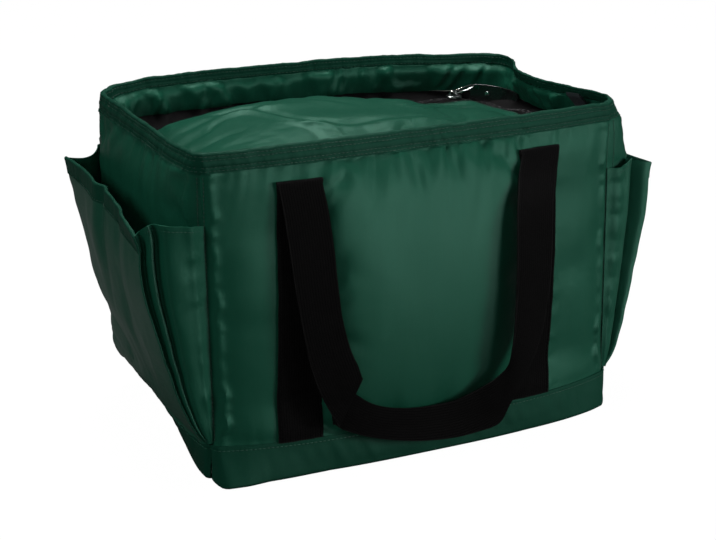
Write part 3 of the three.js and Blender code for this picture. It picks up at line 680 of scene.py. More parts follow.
def wallPoint(side, along, z, out=0.0):
    along, z, out = np.broadcast_arrays(*(np.asarray(v, float) for v in (along, z, out)))
    cornerX, cornerY = cornerAt(z)
    half, reach = (cornerX, cornerY) if isBroad(side) else (cornerY, cornerX)
    kind = "broad" if isBroad(side) else "end"
    levels, power = bagShape[kind + "Bulge"], bagShape[kind + "Power"]
    across = along * (half + out)
    deep = reach + out + bulgeAt(z, levels) * (1 - np.abs(along) ** power)
    nearBack = 1.0 if side == "back" else 0.0 if side == "front" else (along > 0).astype(float)
    front, back = bagShape["cornerRadius"]["front"], bagShape["cornerRadius"]["back"]
    radius = mix(mix(front[0], front[1], z / rimTop), mix(back[0], back[1], (z / rimTop) ** 2), nearBack)
    cut = 0.414 * radius * np.clip(1 - (1 - np.abs(along)) * half / radius, 0, 1) ** 2 * 0.7071
    tuck = bagShape["footRadius"] * (1 - np.sqrt(1 - np.clip(1 - z / bagShape["footRadius"], 0, 1) ** 2))
    across = across - np.sign(along) * cut - tuck * along
    deep = deep - cut - tuck
    if isBroad(side):
        point = np.stack([across, (-deep if side == "front" else deep) + leanAt(z), z], -1)
    else:
        point = np.stack([-deep if side == "left" else deep, across + leanAt(z), z], -1)
    return swayed(side, point, z, along)


# What the photographed bag does beyond the plain form, in millimetres
sway = {
    # Left foot drawn in: y, then how far at the floor
    "tuckAt": ((-120, -97, -52, 29, 78, 130), (-4, 0, 9, 36, 46, 46)),
    "tuckHeight": 50 * mm,
    # Front foot pushed out: x, then how far
    "flareAt": ((-196, -193, -189, -172, -153, -135, -116, -98, 98, 124, 173, 188, 196),
                (2, 20, 22, 18, 11, 8, 5, 3, 3, 4.5, 8, 8, 0)),
    # Ends puffed out: height, then share
    "puffAt": ((0, 120, 185, 225, 255, 268, 279, 290), (0, 0, 0.7, 1, 0.85, 0.7, 0.25, 0)),
    "puff": {"right": 20 * mm, "left": 4.5 * mm},
    "backShare": 0.45,  # of the puff, towards the back
}


def swayed(side, point, z, along):
    x, y = point[..., 0] / mm, point[..., 1] / mm
    tuck = np.interp(y, *sway["tuckAt"]) * np.clip(1 - z / sway["tuckHeight"], 0, 1) ** 1.6
    point[..., 0] += tuck * np.clip(-x / 196, 0, 1.1) ** 3 * mm
    if side == "front":
        point[..., 1] -= np.interp(x, *sway["flareAt"]) * np.clip(1 - z / (34 * mm), 0, 1) * mm
    if side in sway["puff"]:
        share = np.interp(z / mm, *sway["puffAt"]) * (1 - np.abs(along) ** 14)
        share = share * mix(1, sway["backShare"], smoothStep(along, -0.75, 0.15))
        point[..., 0] += outward(side)[0] * sway["puff"][side] * share
    return point


outwardOf = {"front": (0, -1, 0), "back": (0, 1, 0), "left": (-1, 0, 0), "right": (1, 0, 0)}


def outward(side):
    return np.array(outwardOf[side], float)


# The rims sag in, the right end's most: how far in, where along, over what width, and how far down
rimSag = {
    "right": (11 * mm, 0.3, 0.42, 3.5 * mm),
    "left": (3 * mm, -0.1, 0.6, 1.5 * mm),
    "back": (3 * mm, 0.1, 0.6, 0.5 * mm),
    "front": (2 * mm, 0.2, 0.6, 0.8 * mm),
}


def rimDrift(side, along, z):
    inward, middle, width, dip = rimSag[side]
    ends = 1 - np.abs(along) ** 6
    share = bump(along, middle, width) * smoothStep(z, 236 * mm, rimTop) * ends
    return -outward(side) * (inward * share)[..., None] - upAxis * (dip * share)[..., None]


# The back of the rim has slumped out and up, most on the left, its right corner is pushed out, and the right
# rim waves: places in x, or in y on the right, then how far, in millimetres
slump = {
    "out": ((-200, -100, 0, 100, 200), (8, 8, 6, 2, -5)),
    "up": ((-200, -150, -50, 30, 100, 170, 200), (3, 8, 8.5, 8, 6, 0, -1)),
    "corner": 15 * mm,
    "right": ((-112, -95, -70, -40, 0, 40, 70, 95, 112), (0, 2, 1, -2.5, -2.5, 1.5, 1.5, 0, 0)),
}


def slumped(points):
    x, y, z = points[..., 0], points[..., 1], points[..., 2]
    out = np.interp(x / mm, *slump["out"]) * mm
    out = out * smoothStep(y, 0, 100 * mm) * smoothStep(z, 190 * mm, rimTop)
    up = np.interp(x / mm, *slump["up"]) * mm
    up = up * smoothStep(y, -60 * mm, 100 * mm) * smoothStep(z, 235 * mm, rimTop)
    square = slump["corner"] * bump(x, 190 * mm, 24 * mm) * bump(y, 96 * mm, 30 * mm)
    square = square * smoothStep(z, 225 * mm, rimTop)
    wave = np.interp(y / mm, *slump["right"]) * mm
    wave = wave * smoothStep(x, 150 * mm, 185 * mm) * smoothStep(z, 240 * mm, rimTop)
    return points + np.stack([square, out, up + wave], -1)


# Cloth simulation: the wall fabric, a little larger than its seams, pushed out by the padding
clothWork = {"frames": 22, "pressure": 3.0, "growth": -0.022, "bending": 0.4, "reach": 6 * mm}
coarse = {side: count // 2 for side, count in bagShape["columns"].items()}
ringRows = 58
ringLevels = np.linspace(0, rimTop, ringRows)


def sideAlongs(side, count):
    alongs = np.linspace(-1, 1, count + 1)
    return alongs if side in ("front", "right") else alongs[::-1]


def simulateCloth(points, quads, pins, settings):
    mesh = meshOf("clothTrial", points, quads)
    trial = linked("clothTrial", mesh)
    group = trial.vertex_groups.new(name="pins")
    for index, weight in enumerate(pins):
        if weight > 0:
            group.add([index], float(weight), "REPLACE")
    cloth = trial.modifiers.new("cloth", "CLOTH")
    work = cloth.settings
    work.quality = 6
    work.mass = 0.15
    work.tension_stiffness = work.compression_stiffness = 18
    work.shear_stiffness = 8
    work.bending_stiffness = settings["bending"]
    work.vertex_group_mass = "pins"
    work.use_pressure = True
    work.uniform_pressure_force = settings["pressure"]
    work.shrink_min = settings["growth"]
    work.effector_weights.gravity = 0
    cloth.collision_settings.use_collision = False
    cloth.point_cache.frame_start, cloth.point_cache.frame_end = 1, settings["frames"]
    for frameNumber in range(1, settings["frames"] + 1):
        scene.frame_set(frameNumber)
    evaluated = trial.evaluated_get(bpy.context.evaluated_depsgraph_get())
    result = evaluated.to_mesh()
    moved = np.empty(len(points) * 3)
    result.vertices.foreach_get("co", moved)
    evaluated.to_mesh_clear()
    bpy.data.objects.remove(trial)
    bpy.data.meshes.remove(mesh)
    scene.frame_set(1)
    return moved.reshape(-1, 3)


def simulateWalls():
    columns, pinned = [], []
    for side in sides:
        alongs = sideAlongs(side, coarse[side])[:-1]
        columns.append(wallPoint(side, alongs[None, :], ringLevels[:, None]))
        corner = np.isclose(np.abs(alongs), 1)[None, :] & np.ones((ringRows, 1), bool)
        covered = (ringLevels < bandTop) | (ringLevels > hemFoot - 1 * mm)
        edge = covered[:, None] & np.ones((1, len(alongs)), bool)
        strap = bump(np.abs(alongs) * bagShape["rimHalf"][0], bagShape["strapX"], 17 * mm)
        strap = strap * (0.75 if isBroad(side) else 0)
        pinned.append(np.maximum((corner | edge).astype(float), strap[None, :] + 0 * ringLevels[:, None]))
    base = np.concatenate(columns, 1)
    pins = np.concatenate(pinned, 1)
    count = base.shape[1]
    around = np.arange(count)[None, :] * 5.0 * mm
    start = base.copy()
    centre = np.array([0, 0, 0.14])
    uneven = 0.4 * mm * patchNoise(around, ringLevels[:, None], 9 * mm, 14 * mm, 5) * (1 - pins)
    start += unit((base - centre) * np.array([1, 1, 0])) * uneven[..., None]
    quads, _ = gridQuads(ringRows, count, False, True)
    shift = simulateCloth(start.reshape(-1, 3), quads, pins.ravel(), clothWork).reshape(base.shape) - base
    size = np.linalg.norm(shift, axis=-1, keepdims=True)
    shift *= np.tanh(size / clothWork["reach"]) * clothWork["reach"] / np.maximum(size, 1e-9)
    print("stage: walls simulated, largest move %.1f mm" % (np.linalg.norm(shift, axis=-1).max() / mm))
    shifts, first = {}, 0
    for side in sides:
        part = np.concatenate([shift, shift[:, :1]], 1)[:, first:first + coarse[side] + 1]
        first += coarse[side]
        shifts[side] = part if side in ("front", "right") else part[:, ::-1]
    return shifts


def respaced(grid, count):
    at = np.linspace(0, len(grid) - 1, count)
    made = [np.interp(at, np.arange(len(grid)), line) for line in grid.reshape(len(grid), -1).T]
    return np.stack(made, -1).reshape(count, *grid.shape[1:])


def resampled(grid, rows, columns):
    return respaced(respaced(grid, rows).transpose(1, 0, 2), columns).transpose(1, 0, 2)


wallShift = {}
fineRows = 143
fineLevels = np.linspace(0, rimTop, fineRows)
puckers = {
    "hem": (1.25 * mm, 1.9 * mm),  # fine gathers, then broader folds
    "band": 0.45 * mm,
    "seam": 2.8 * mm,
    "strapDip": 6.5 * mm,
    "edgePuff": 0.8 * mm,
}


def seamWork(side, along, z):
    half = halfWidth(side, z)
    s = along * half
    seed = 20 + 7 * sides.index(side)
    below = np.clip(hemFoot - z, 0, None)
    above = np.clip(z - bandTop, 0, None)
    gap = np.clip(half - np.abs(s), 0, None)
    crowd = 0.65 + 0.7 * bump(s, 45 * mm, 70 * mm) if isBroad(side) else 0.8
    fine, broad = puckers["hem"]
    hem = fine * crowd * ripple(s + below * 0.2, 3.6 * mm, seed) * np.exp(-below / (11 * mm))
    hem = hem + broad * crowd * ripple(s + below * 0.3, 9 * mm, seed + 1) * np.exp(-below / (24 * mm))
    band = puckers["band"] * ripple(s, 5.5 * mm, seed + 2) * np.exp(-above / (13 * mm))
    wave = ripple(z, 13 * mm, seed + (3 if s.mean() > 0 else 4)) + 0.5 * ripple(z, 5 * mm, seed + 5)
    seam = puckers["seam"] * bump(gap, 9.5 * mm + 2.5 * mm * wave, 3.6 * mm) * (0.85 + 0.5 * wave)
    seam = seam - 1.1 * mm * np.exp(-(gap / (2.0 * mm)) ** 2)
    seam = seam - 0.35 * mm * np.abs(wave) * np.exp(-gap / (20 * mm))
    dip = 0
    if isBroad(side):
        width = np.where(np.abs(s) < bagShape["strapX"], 30 * mm, 75 * mm)
        dip = -puckers["strapDip"] * bump(np.abs(s), bagShape["strapX"], width)
        dip = dip + puckers["edgePuff"] * bump(np.abs(s), 168 * mm, 20 * mm)
        dip = dip * smoothStep(z, bandTop, 70 * mm) * smoothStep(hemFoot - z, 14 * mm, 60 * mm)
    inside = smoothStep(z, bandTop - 4 * mm, bandTop + 2 * mm) * smoothStep(hemFoot + 3 * mm - z, 0, 4 * mm)
    return ((hem + band + seam) * inside + dip)[..., None] * outward(side)


def relaxed(grid, times):
    grid = grid.copy()
    for _ in range(times):
        beside = grid[2:, 1:-1] + grid[:-2, 1:-1] + grid[1:-1, 2:] + grid[1:-1, :-2]
        grid[1:-1, 1:-1] = (grid[1:-1, 1:-1] * 4 + beside) / 8
    return grid


simulated = simulateWalls()
for side in sides:
    columnCount = bagShape["columns"][side] + 1
    grid = relaxed(resampled(simulated[side], fineRows, columnCount), 2)
    alongs, levels = np.meshgrid(np.linspace(-1, 1, columnCount), fineLevels)
    if isBroad(side):
        beside = smoothStep(np.abs(alongs), 0.6, 0.72)[..., None]
        grid = mix(grid, 0.7 * relaxed(grid, 60), beside)
    wallShift[side] = grid + seamWork(side, alongs, levels) + rimDrift(side, alongs, levels)


def surfaceAt(side, along, z, out=0.0, calm=1.0):
    along, z, out = np.broadcast_arrays(*(np.asarray(v, float) for v in (along, z, out)))
    grid = wallShift[side]
    row = np.clip(z / rimTop, 0, 1) * (grid.shape[0] - 1)
    column = (np.clip(along, -1, 1) + 1) / 2 * (grid.shape[1] - 1)
    r, c = np.minimum(row.astype(int), grid.shape[0] - 2), np.minimum(column.astype(int), grid.shape[1] - 2)
    sr, sc = (row - r)[..., None], (column - c)[..., None]
    low = mix(grid[r, c], grid[r, c + 1], sc)
    high = mix(grid[r + 1, c], grid[r + 1, c + 1], sc)
    shift = mix(low, high, sr)
    drift = rimDrift(side, along, z)
    return slumped(wallPoint(side, along, z, out) + drift + calm * (shift - drift))


# Fabric panels with the insulation foam behind them
layers = {"fabric": 0.8 * mm, "slack": 1.8 * mm, "foam": 4.2 * mm, "gap": 0.5 * mm, "film": 0.6 * mm}
foamOut = -(layers["fabric"] + layers["slack"])
tubOut = foamOut - layers["foam"] - layers["gap"]
panelTop = rimTop - 1.3 * mm
panelNames = {"front": "front", "back": "back", "left": "left_end", "right": "right_end"}


def wallSheet(name, side, low, high, out, thickness, rowCount, columnCount, look, **more):
    alongs, levels = np.meshgrid(np.linspace(-1, 1, columnCount), np.linspace(low, high, rowCount))
    face = surfaceAt(side, alongs, levels, out)
    return closedSheet(name, face, surfaceAt(side, alongs, levels, out - thickness), look, "bag", **more)


for side in sides:
    columnCount = bagShape["columns"][side] + 1
    panel = wallSheet(panelNames[side] + "_fabric", side, 0.3 * mm, panelTop, 0, layers["fabric"], 110, columnCount,
                      "panel", slot="green_nylon", replaces=[panelNames[side] + "_panel"])
    foam = wallSheet(side + "_foam_pad", side, 3.4 * mm, hemFoot - 5 * mm, foamOut, layers["foam"],
                     40, columnCount // 4, "foam", slot="insulation_foam", replaces=[side + "_wall_foam"])
print("stage: panels")


# Base band: puffed a little between its seam and the foot, its upper edge folded and topstitched
bandShape = {"out": 1.1 * mm, "puff": 0.9 * mm, "ripple": 1.6 * mm, "stitchBelow": 3.4 * mm}


def bandPoint(side, along, z, out):
    half = halfWidth(side, z)
    s = along * half
    seed = 60 + 9 * sides.index(side)
    fold = bump(z, bandTop - 2 * mm, 2.2 * mm) * 0.35 * mm
    puff = bandShape["puff"] * np.sin(np.clip(z / bandTop, 0, 1) * math.pi) ** 1.2
    wrinkle = bandShape["ripple"] * ripple(s + z * 0.35, 7 * mm, seed) * smoothStep(z, 0, 18 * mm)
    wrinkle = wrinkle * (0.6 + 0.4 * ripple(s, 40 * mm, seed + 1))
    wrinkle = wrinkle + 0.5 * mm * patchNoise(s, z, 26 * mm, 11 * mm, seed + 2) * smoothStep(z, 0, 8 * mm)
    seam = -0.9 * mm * np.exp(-((half - np.abs(s)) / (2.2 * mm)) ** 2)
    groove = -0.35 * mm * bump(z, bandTop - bandShape["stitchBelow"], 0.9 * mm)
    push = np.maximum(fold + puff + wrinkle + groove, 0.25 * mm) + seam
    return wallPoint(side, along, z, out) + push[..., None] * outward(side)


for side in sides:
    columnCount = 2 * (bagShape["columns"][side] // 2) + 1
    levels = np.concatenate([np.linspace(0, 4 * mm, 7), np.linspace(5 * mm, bandTop, 26)])
    alongs, levels = np.meshgrid(np.linspace(-1, 1, columnCount), levels)
    out = bandShape["out"]
    face = bandPoint(side, alongs, levels, out)
    closedSheet("base_strip_" + side, face, bandPoint(side, alongs, levels, out - 0.8 * mm), "band", "bag",
                slot="green_nylon", replaces=["base_band_" + side])
    stitched = np.full(240, bandTop - bandShape["stitchBelow"])
    row = bandPoint(side, np.linspace(-1, 1, 240), stitched, out + 0.1 * mm)
    sew("bag", row, np.tile(outward(side), (240, 1)))


# Base: fabric underside, board and foam, all with the band's soft corners
def baseSlab(name, low, high, inset, look, slot, node, rings=16):
    edge = np.concatenate([wallPoint(side, sideAlongs(side, 40)[:-1], low + 5 * mm, -inset) for side in sides])
    shares = np.linspace(0.02, 1, rings)
    places = [(share, low) for share in shares] + [(share, high) for share in shares[::-1]]
    stack = [np.column_stack([edge[:, :2] * share, np.full(len(edge), z)]) for share, z in places]
    points = np.stack(stack)
    quads, _ = gridQuads(len(points), points.shape[1], True, True)
    flat = points.reshape(-1, 3)
    uvs = flat[quads][..., :2]
    return makePiece(name, flat, quads, look, "bag", slot=slot, replaces=[node], loopUvs=uvs)


baseSlab("base_fabric", 0, 0.8 * mm, 4.2 * mm, "panel", "green_nylon", "base_panel")
baseSlab("base_stiffener", 1.1 * mm, 3.1 * mm, 5 * mm, "board", "stiff_board", "base_board")
baseSlab("base_pad", 3.4 * mm, 9.4 * mm, 7.5 * mm, "foam", "insulation_foam", "base_foam")
print("stage: base")


# Rings of cloth round the whole rim
def ringLoft(name, section, wrinkle, look, replaces, calm):
    rings = []
    for index, (z, out) in enumerate(section):
        ring = []
        for side in sides:
            alongs = sideAlongs(side, bagShape["columns"][side])[:-1]
            half = halfWidth(side, z)
            point = surfaceAt(side, alongs, np.full(len(alongs), z), out, calm)
            push, lift = wrinkle(side, alongs * half, half - np.abs(alongs) * half, index, z)
            ring.append(point + push[:, None] * outward(side) + upAxis * lift[:, None])
        rings.append(np.concatenate(ring))
    points = np.stack(rings)
    quads, index = gridQuads(len(section), points.shape[1], True, True)
    loop = np.concatenate([points, points[:, :1]], 1)
    loop = np.concatenate([loop, loop[:1]], 0)
    grid = np.stack([lengthsAlong(loop, 1)[:1] + 0 * loop[..., 0], lengthsAlong(loop, 0)], -1)
    uvs = grid[index[..., 0], index[..., 1]]
    makePiece(name, points, quads, look, "bag", slot="green_nylon", replaces=replaces, loopUvs=uvs)
    return points


# Rim hem: a binding folded over the rim, pulled in along its four rows of stitching
hemShape = {"fold": 0.8 * mm, "outer": 0.3 * mm, "inner": 2.2 * mm, "wave": 0.5 * mm, "turn": 2.4 * mm}
hemCounts = {"outside": 20, "turn": 9, "inside": 10}
hemRows = (rimTop - 3 * mm, rimTop - 6 * mm, hemFoot + 5 * mm, hemFoot + 2.2 * mm)
innerFoot = rimTop - 10.5 * mm  # the binding is turned in less far than it hangs outside


def hemSection():
    outerFace, innerFace = hemShape["outer"] + hemShape["fold"], -hemShape["inner"] - hemShape["fold"]
    turnFoot = rimTop - hemShape["turn"]
    outside = [(z, outerFace) for z in np.linspace(hemFoot + 0.4 * mm, turnFoot, hemCounts["outside"])]
    turn = [(turnFoot + hemShape["turn"] * math.sin(a), mix(innerFace, outerFace, (1 + math.cos(a)) / 2))
            for a in np.linspace(0.25, math.pi - 0.25, hemCounts["turn"])]
    inside = [(z, innerFace) for z in np.linspace(turnFoot, innerFoot, hemCounts["inside"])]
    back = [(z, -hemShape["inner"]) for z in np.linspace(innerFoot - 0.4 * mm, rimTop - 2.2 * mm, 5)]
    under = [(z, hemShape["outer"]) for z in np.linspace(rimTop - 2.2 * mm, hemFoot, 5)]
    return outside + turn + inside + back + under


hemPath = hemSection()
insideStart = hemCounts["outside"] + hemCounts["turn"]


def hemWrinkle(side, s, gap, index, z):
    seed = 100 + 11 * sides.index(side)
    free = 1.0 if index < insideStart + hemCounts["inside"] else 0.35
    rowHere = sum(bump(z, row, 0.9 * mm) for row in hemRows)
    fine = ripple(s + (z - hemFoot) * 0.3, 3.3 * mm, seed) * 0.55 * mm
    broad = ripple(s, 16 * mm, seed + 1) * hemShape["wave"]
    pull = -0.55 * mm * rowHere * (1 + 0.6 * ripple(s, 2 * mm, seed + 2))
    sign = 1.0 if index < hemCounts["outside"] + 5 else -1.0
    corner = np.exp(-(gap / (7 * mm)) ** 2)
    puff = 0.35 * mm * bump(z, (rimTop + hemFoot) / 2, 3.5 * mm)
    push = sign * (pull + puff + fine) * free + broad * smoothStep(z, hemFoot, rimTop) + 0.7 * mm * corner * sign
    lift = 0.45 * mm * ripple(s, 21 * mm, seed + 3) + 0.25 * mm * ripple(s, 5 * mm, seed + 4)
    return push, lift * smoothStep(z, hemFoot + 4 * mm, rimTop) - 0.1 * mm


hemPoints = ringLoft("rim_binding", hemPath, hemWrinkle, "hem", ["rim_hem"], calm=0.7)
hemHeights = np.array([z for z, _ in hemPath])
for level in hemRows:
    outer = int(np.argmin(np.abs(hemHeights[:hemCounts["outside"]] - level)))
    insideHeights = hemHeights[insideStart:insideStart + hemCounts["inside"]]
    inner = insideStart + int(np.argmin(np.abs(insideHeights - max(level, innerFoot + 1.6 * mm))))
    for index, sign in ((outer, 1), (inner, -1)) if level in (hemRows[0], hemRows[3]) else ((outer, 1),):
        path = np.concatenate([hemPoints[index], hemPoints[index][:1]])
        centre = path * np.array([0.55, 0.1, 0])
        normals = unit((path - centre) * np.array([1, 1, 0])) * sign
        sew("bagHem", path + normals * 0.12 * mm, normals)
print("stage: hem")


# Collar facing: gathered inner fabric from the hem down to the zip
collar = {"thickness": 0.8 * mm, "rim": -1.9 * mm, "wall": tubOut - 0.8 * mm, "gather": 4.2 * mm}


def collarSection():
    rim, wall = collar["rim"], collar["wall"]
    inner = [(panelTop, rim), (innerFoot + 4 * mm, rim - 0.1 * mm), (innerFoot + 1 * mm, rim - 0.4 * mm)]
    inner += [(innerFoot - 1.5 * mm, mix(rim, wall, 0.4)), (innerFoot - 4 * mm, mix(rim, wall, 0.8))]
    inner += [(innerFoot - 6.5 * mm, wall)]
    inner += [(z, wall) for z in np.linspace(innerFoot - 9 * mm, lidLevel + 0.7 * mm, 9)]
    outer = [(z, out + collar["thickness"]) for z, out in inner[::-1]]
    return inner + outer


def collarWrinkle(side, s, gap, index, z):
    seed = 200 + 13 * sides.index(side)
    below = max(0.0, innerFoot + 2 * mm - z)
    reach = smoothStep(below, 0, 4 * mm) * (0.45 + 0.55 * smoothStep(z, lidLevel, lidLevel + 8 * mm))
    folds = ripple(s + below * 0.5, 6 * mm, seed) * 0.35 + ripple(s - below * 0.7, 13 * mm, seed + 1) * 1.1
    folds = folds + patchNoise(s + below, z, 24 * mm, 14 * mm, seed + 2) * 0.5
    shared = collar["gather"] * (folds - 0.45) * reach * (1 - np.exp(-(gap / (9 * mm)) ** 2))
    return np.minimum(shared, 0.35 * mm), 0 * s


collarPoints = ringLoft("collar_lining", collarSection(), collarWrinkle, "collar", ["collar_facing"], calm=0.25)


# Lining tub: foil film down the walls and over the floor, creased
def liningTub():
    floor, brim = 9.7 * mm, lidLevel - 1.6 * mm
    counts = {"front": 60, "right": 36, "back": 60, "left": 36}
    rings = []
    low, high = np.linspace(floor, floor + 10 * mm, 5), np.linspace(floor + 14 * mm, brim, 38)
    wallLevels = np.concatenate([low, high])
    for offset, order in ((0, 1), (layers["film"], -1)):
        stack = []
        for z in wallLevels[::order]:
            ring = []
            for side in sides:
                alongs = sideAlongs(side, counts[side])[:-1]
                lift = np.clip(1 - (z - floor) / (8 * mm), 0, 1)
                tuck = 8 * mm * (1 - math.sqrt(1 - lift * lift))
                s = alongs * halfWidth(side, z)
                crinkle = 1.3 * mm * np.abs(patchNoise(s, z, 21 * mm, 26 * mm, 300 + sides.index(side)))
                point = surfaceAt(side, alongs, np.full(len(alongs), z), tubOut - offset - tuck, 0.9)
                ring.append(point - crinkle[:, None] * outward(side) * smoothStep(brim - z, 0, 12 * mm))
            stack.append(np.concatenate(ring))
        walls = np.stack(stack)
        foot = walls[0] if order == 1 else walls[-1]
        floorRings = []
        for share in (0.02, 0.25, 0.5, 0.7, 0.85, 0.94):
            spot = foot[:, :2] * share
            crinkle = 0.5 * mm * (1 + patchNoise(spot[:, 0], spot[:, 1], 30 * mm, 30 * mm, 310))
            floorRings.append(np.column_stack([spot, floor + offset + crinkle]))
        rings += [np.stack(floorRings), walls] if order == 1 else [walls, np.stack(floorRings[::-1])]
    points = np.concatenate(rings)
    quads, _ = gridQuads(len(points), points.shape[1], True, True)
    return makePiece("foil_tub", points, quads, "foil", "bag", slot="foil_lining", replaces=["lining_tub"])


liningTub()
print("stage: collar and lining")

# Zip line: from the right front corner by the back to the left front corner
zipShape = {"radius": 22 * mm, "tape": 0.7 * mm, "tapeWidth": 6.5 * mm, "root": 3.1 * mm}


def zipRun(offset, whole=False):
    halfX, halfY, radius = zipHalf[0] + offset, zipHalf[1] + offset, zipShape["radius"] + offset
    pieces = []
    corners = [(1, 1, 0), (-1, 1, 90)] if not whole else [(1, 1, 0), (-1, 1, 90), (-1, -1, 180), (1, -1, 270)]
    if not whole:
        pieces.append([[halfX, -(halfY - radius), 0]])
    for signX, signY, first in corners:
        angles = np.radians(np.linspace(first, first + 90, 24))
        pieces.append(np.column_stack([signX * (halfX - radius) + radius * np.cos(angles),
                                       signY * (halfY - radius) + radius * np.sin(angles), 0 * angles]))
    pieces.append([[-halfX, -(halfY - radius), 0]] if not whole else [pieces[0][0]])
    return np.vstack(pieces) + np.array([0, lidCentreY, 0])


def sideways(path):
    tangent = unit(np.gradient(path, axis=0))
    return np.stack([tangent[:, 1], -tangent[:, 0], 0 * tangent[:, 0]], -1)


def reachRing(points, directions, ring):
    start, end = ring[:, :2], np.roll(ring[:, :2], -1, 0)
    reach = np.full(len(points), 0.05)
    for i, (p, d) in enumerate(zip(points[:, :2], directions[:, :2])):
        edge = end - start
        cross = d[0] * edge[:, 1] - d[1] * edge[:, 0]
        cross = np.where(np.abs(cross) < 1e-12, 1e-12, cross)
        gap = start - p
        t = (gap[:, 0] * edge[:, 1] - gap[:, 1] * edge[:, 0]) / cross
        u = (gap[:, 0] * d[1] - gap[:, 1] * d[0]) / cross
        hits = t[(u >= -1e-9) & (u <= 1) & (t > 0)]
        if len(hits):
            reach[i] = hits.min()
    return reach


collarRing = collarPoints[len(collarSection()) // 2 - 1]
zipMiddle = evenly(zipRun(0), 260)
zipOut = sideways(zipMiddle)
# Along the back the collar's tape climbs to the wall
climbTop = 8.5 * mm
climb = np.interp(zipMiddle[:, 0] / mm, [-190, -150, -50, 50, 110, 160], [0.9, 1, 1, 0.75, 0.3, 0]) * climbTop
climb = climb * smoothStep(zipMiddle[:, 1], 20 * mm, 95 * mm)
upperGap = reachRing(zipMiddle, zipOut, collarPoints[len(collarSection()) // 2 - 4])
wallGap = mix(reachRing(zipMiddle, zipOut, collarRing), upperGap, climb / climbTop)
atLid = upAxis * lidLevel


def cornerSink(points):
    depth = 5 * mm + 3 * mm * smoothStep(points[..., 0], 150 * mm, 180 * mm)
    return -depth * smoothStep(points[..., 1], 10 * mm, 60 * mm)


def tapeRows(inner, outer, steps, sag, rise=0.0):
    rows = []
    for share in np.linspace(0, 1, steps):
        offset = np.broadcast_to(mix(inner, outer, share), len(zipMiddle))
        lift = rise * share ** 1.2 - sag * math.sin(math.pi * share) + cornerSink(zipMiddle) * (1 - share)
        lift = np.broadcast_to(lift, len(zipMiddle))
        rows.append(zipMiddle + zipOut * offset[:, None] + atLid + upAxis * lift[:, None])
    return np.stack(rows)


near = zipShape["root"] + 0.3 * mm
dropped = -6 * mm * smoothStep(zipMiddle[:, 0], 40 * mm, 140 * mm) * smoothStep(zipMiddle[:, 1], 0, 80 * mm)
lidTapeRows = tapeRows(-near, -near - zipShape["tapeWidth"], 5, 0.1 * mm, dropped)
collarTapeRows = tapeRows(near, wallGap - 0.2 * mm, 7, 0.5 * mm, climb)
for label, rows, body in (("lid", lidTapeRows, "lid"), ("collar", collarTapeRows, "bag")):
    thickened(label + "_side_tape", rows, zipShape["tape"], "tape", body, slot="black_tape",
              replaces=[label + "_zip_tape"], uvTurn=True)
upward = np.tile(upAxis, (len(zipMiddle), 1))
for key, offset in (("bagDark", near + 2.6 * mm), ("lidDark", -near - 4.8 * mm)):
    threads = tapeRows(offset, offset, 1, 0)[0] + upward * 0.42 * mm
    sew(key, threads, upward, pitch=3.2 * mm, length=2.3 * mm)


# Coils: one nylon thread wound along the edge of each tape, the two meshed turn by turn
def zipCoil(sign, body, node):
    total = np.linalg.norm(np.diff(zipMiddle, axis=0), axis=1).sum()
    turns = int(total / (1.6 * mm))
    steps = turns * 10
    middle = evenly(zipMiddle, steps)

    phase = np.linspace(0, 2 * math.pi * turns, steps) + (0 if sign > 0 else math.pi)
    across = sign * (1.75 * mm + 1.45 * mm * np.cos(phase))
    height = lidLevel + 0.8 * mm * np.sin(phase) + cornerSink(middle)
    path = middle + sideways(middle) * across[:, None] + np.column_stack([0 * phase, 0 * phase, height])
    verts, quads = tube(path, 0.32 * mm, 4)
    return makePiece("zip_coil_" + body, verts, quads, "coil", body, slot="zip_coil", replaces=[node], angle=80)


zipCoil(1, "bag", "collar_zip_comb")
zipCoil(-1, "lid", "lid_zip_comb")
print("stage: zip")


# Lid: crowned cover that swells between its sewn edges, with foam and film below
lidShape = {
    "crown": 18 * mm,
    "radius": zipShape["radius"] - lidEdgeInset,
    "columns": 121,
    "rowCount": 67,
    "skin": 0.8 * mm,
    # Along the back: x, then how far up, in millimetres
    "backPuff": ((-180, -150, -100, -60, -15, 26, 100, 134), (4.8, 8, 10.5, 13.5, 14.5, 12, 4.5, 0)),
}
lidWork = {"frames": 22, "pressure": 2.2, "growth": -0.022, "bending": 0.3}


def lidPlan():
    u, v = np.meshgrid(np.linspace(-1, 1, lidShape["columns"]), np.linspace(-1, 1, lidShape["rowCount"]))
    ring = np.maximum(np.abs(u), np.abs(v))
    x, y = u * lidHalf[0], v * lidHalf[1]
    hx, hy, r = lidHalf[0] * ring, lidHalf[1] * ring, lidShape["radius"] * ring
    cx, cy = hx - r, hy - r
    inCorner = (np.abs(x) > cx) & (np.abs(y) > cy)
    a = x * x + y * y + 1e-12
    b = -2 * (np.abs(x) * cx + np.abs(y) * cy)
    c = cx * cx + cy * cy - r * r
    scale = (-b + np.sqrt(np.maximum(b * b - 4 * a * c, 0))) / (2 * a)
    scale = np.where(inCorner, scale, 1)
    return x * scale, y * scale + lidCentreY, ring


lidX, lidY, lidRing = lidPlan()
lidEdgeTop = lidTop - lidShape["crown"]
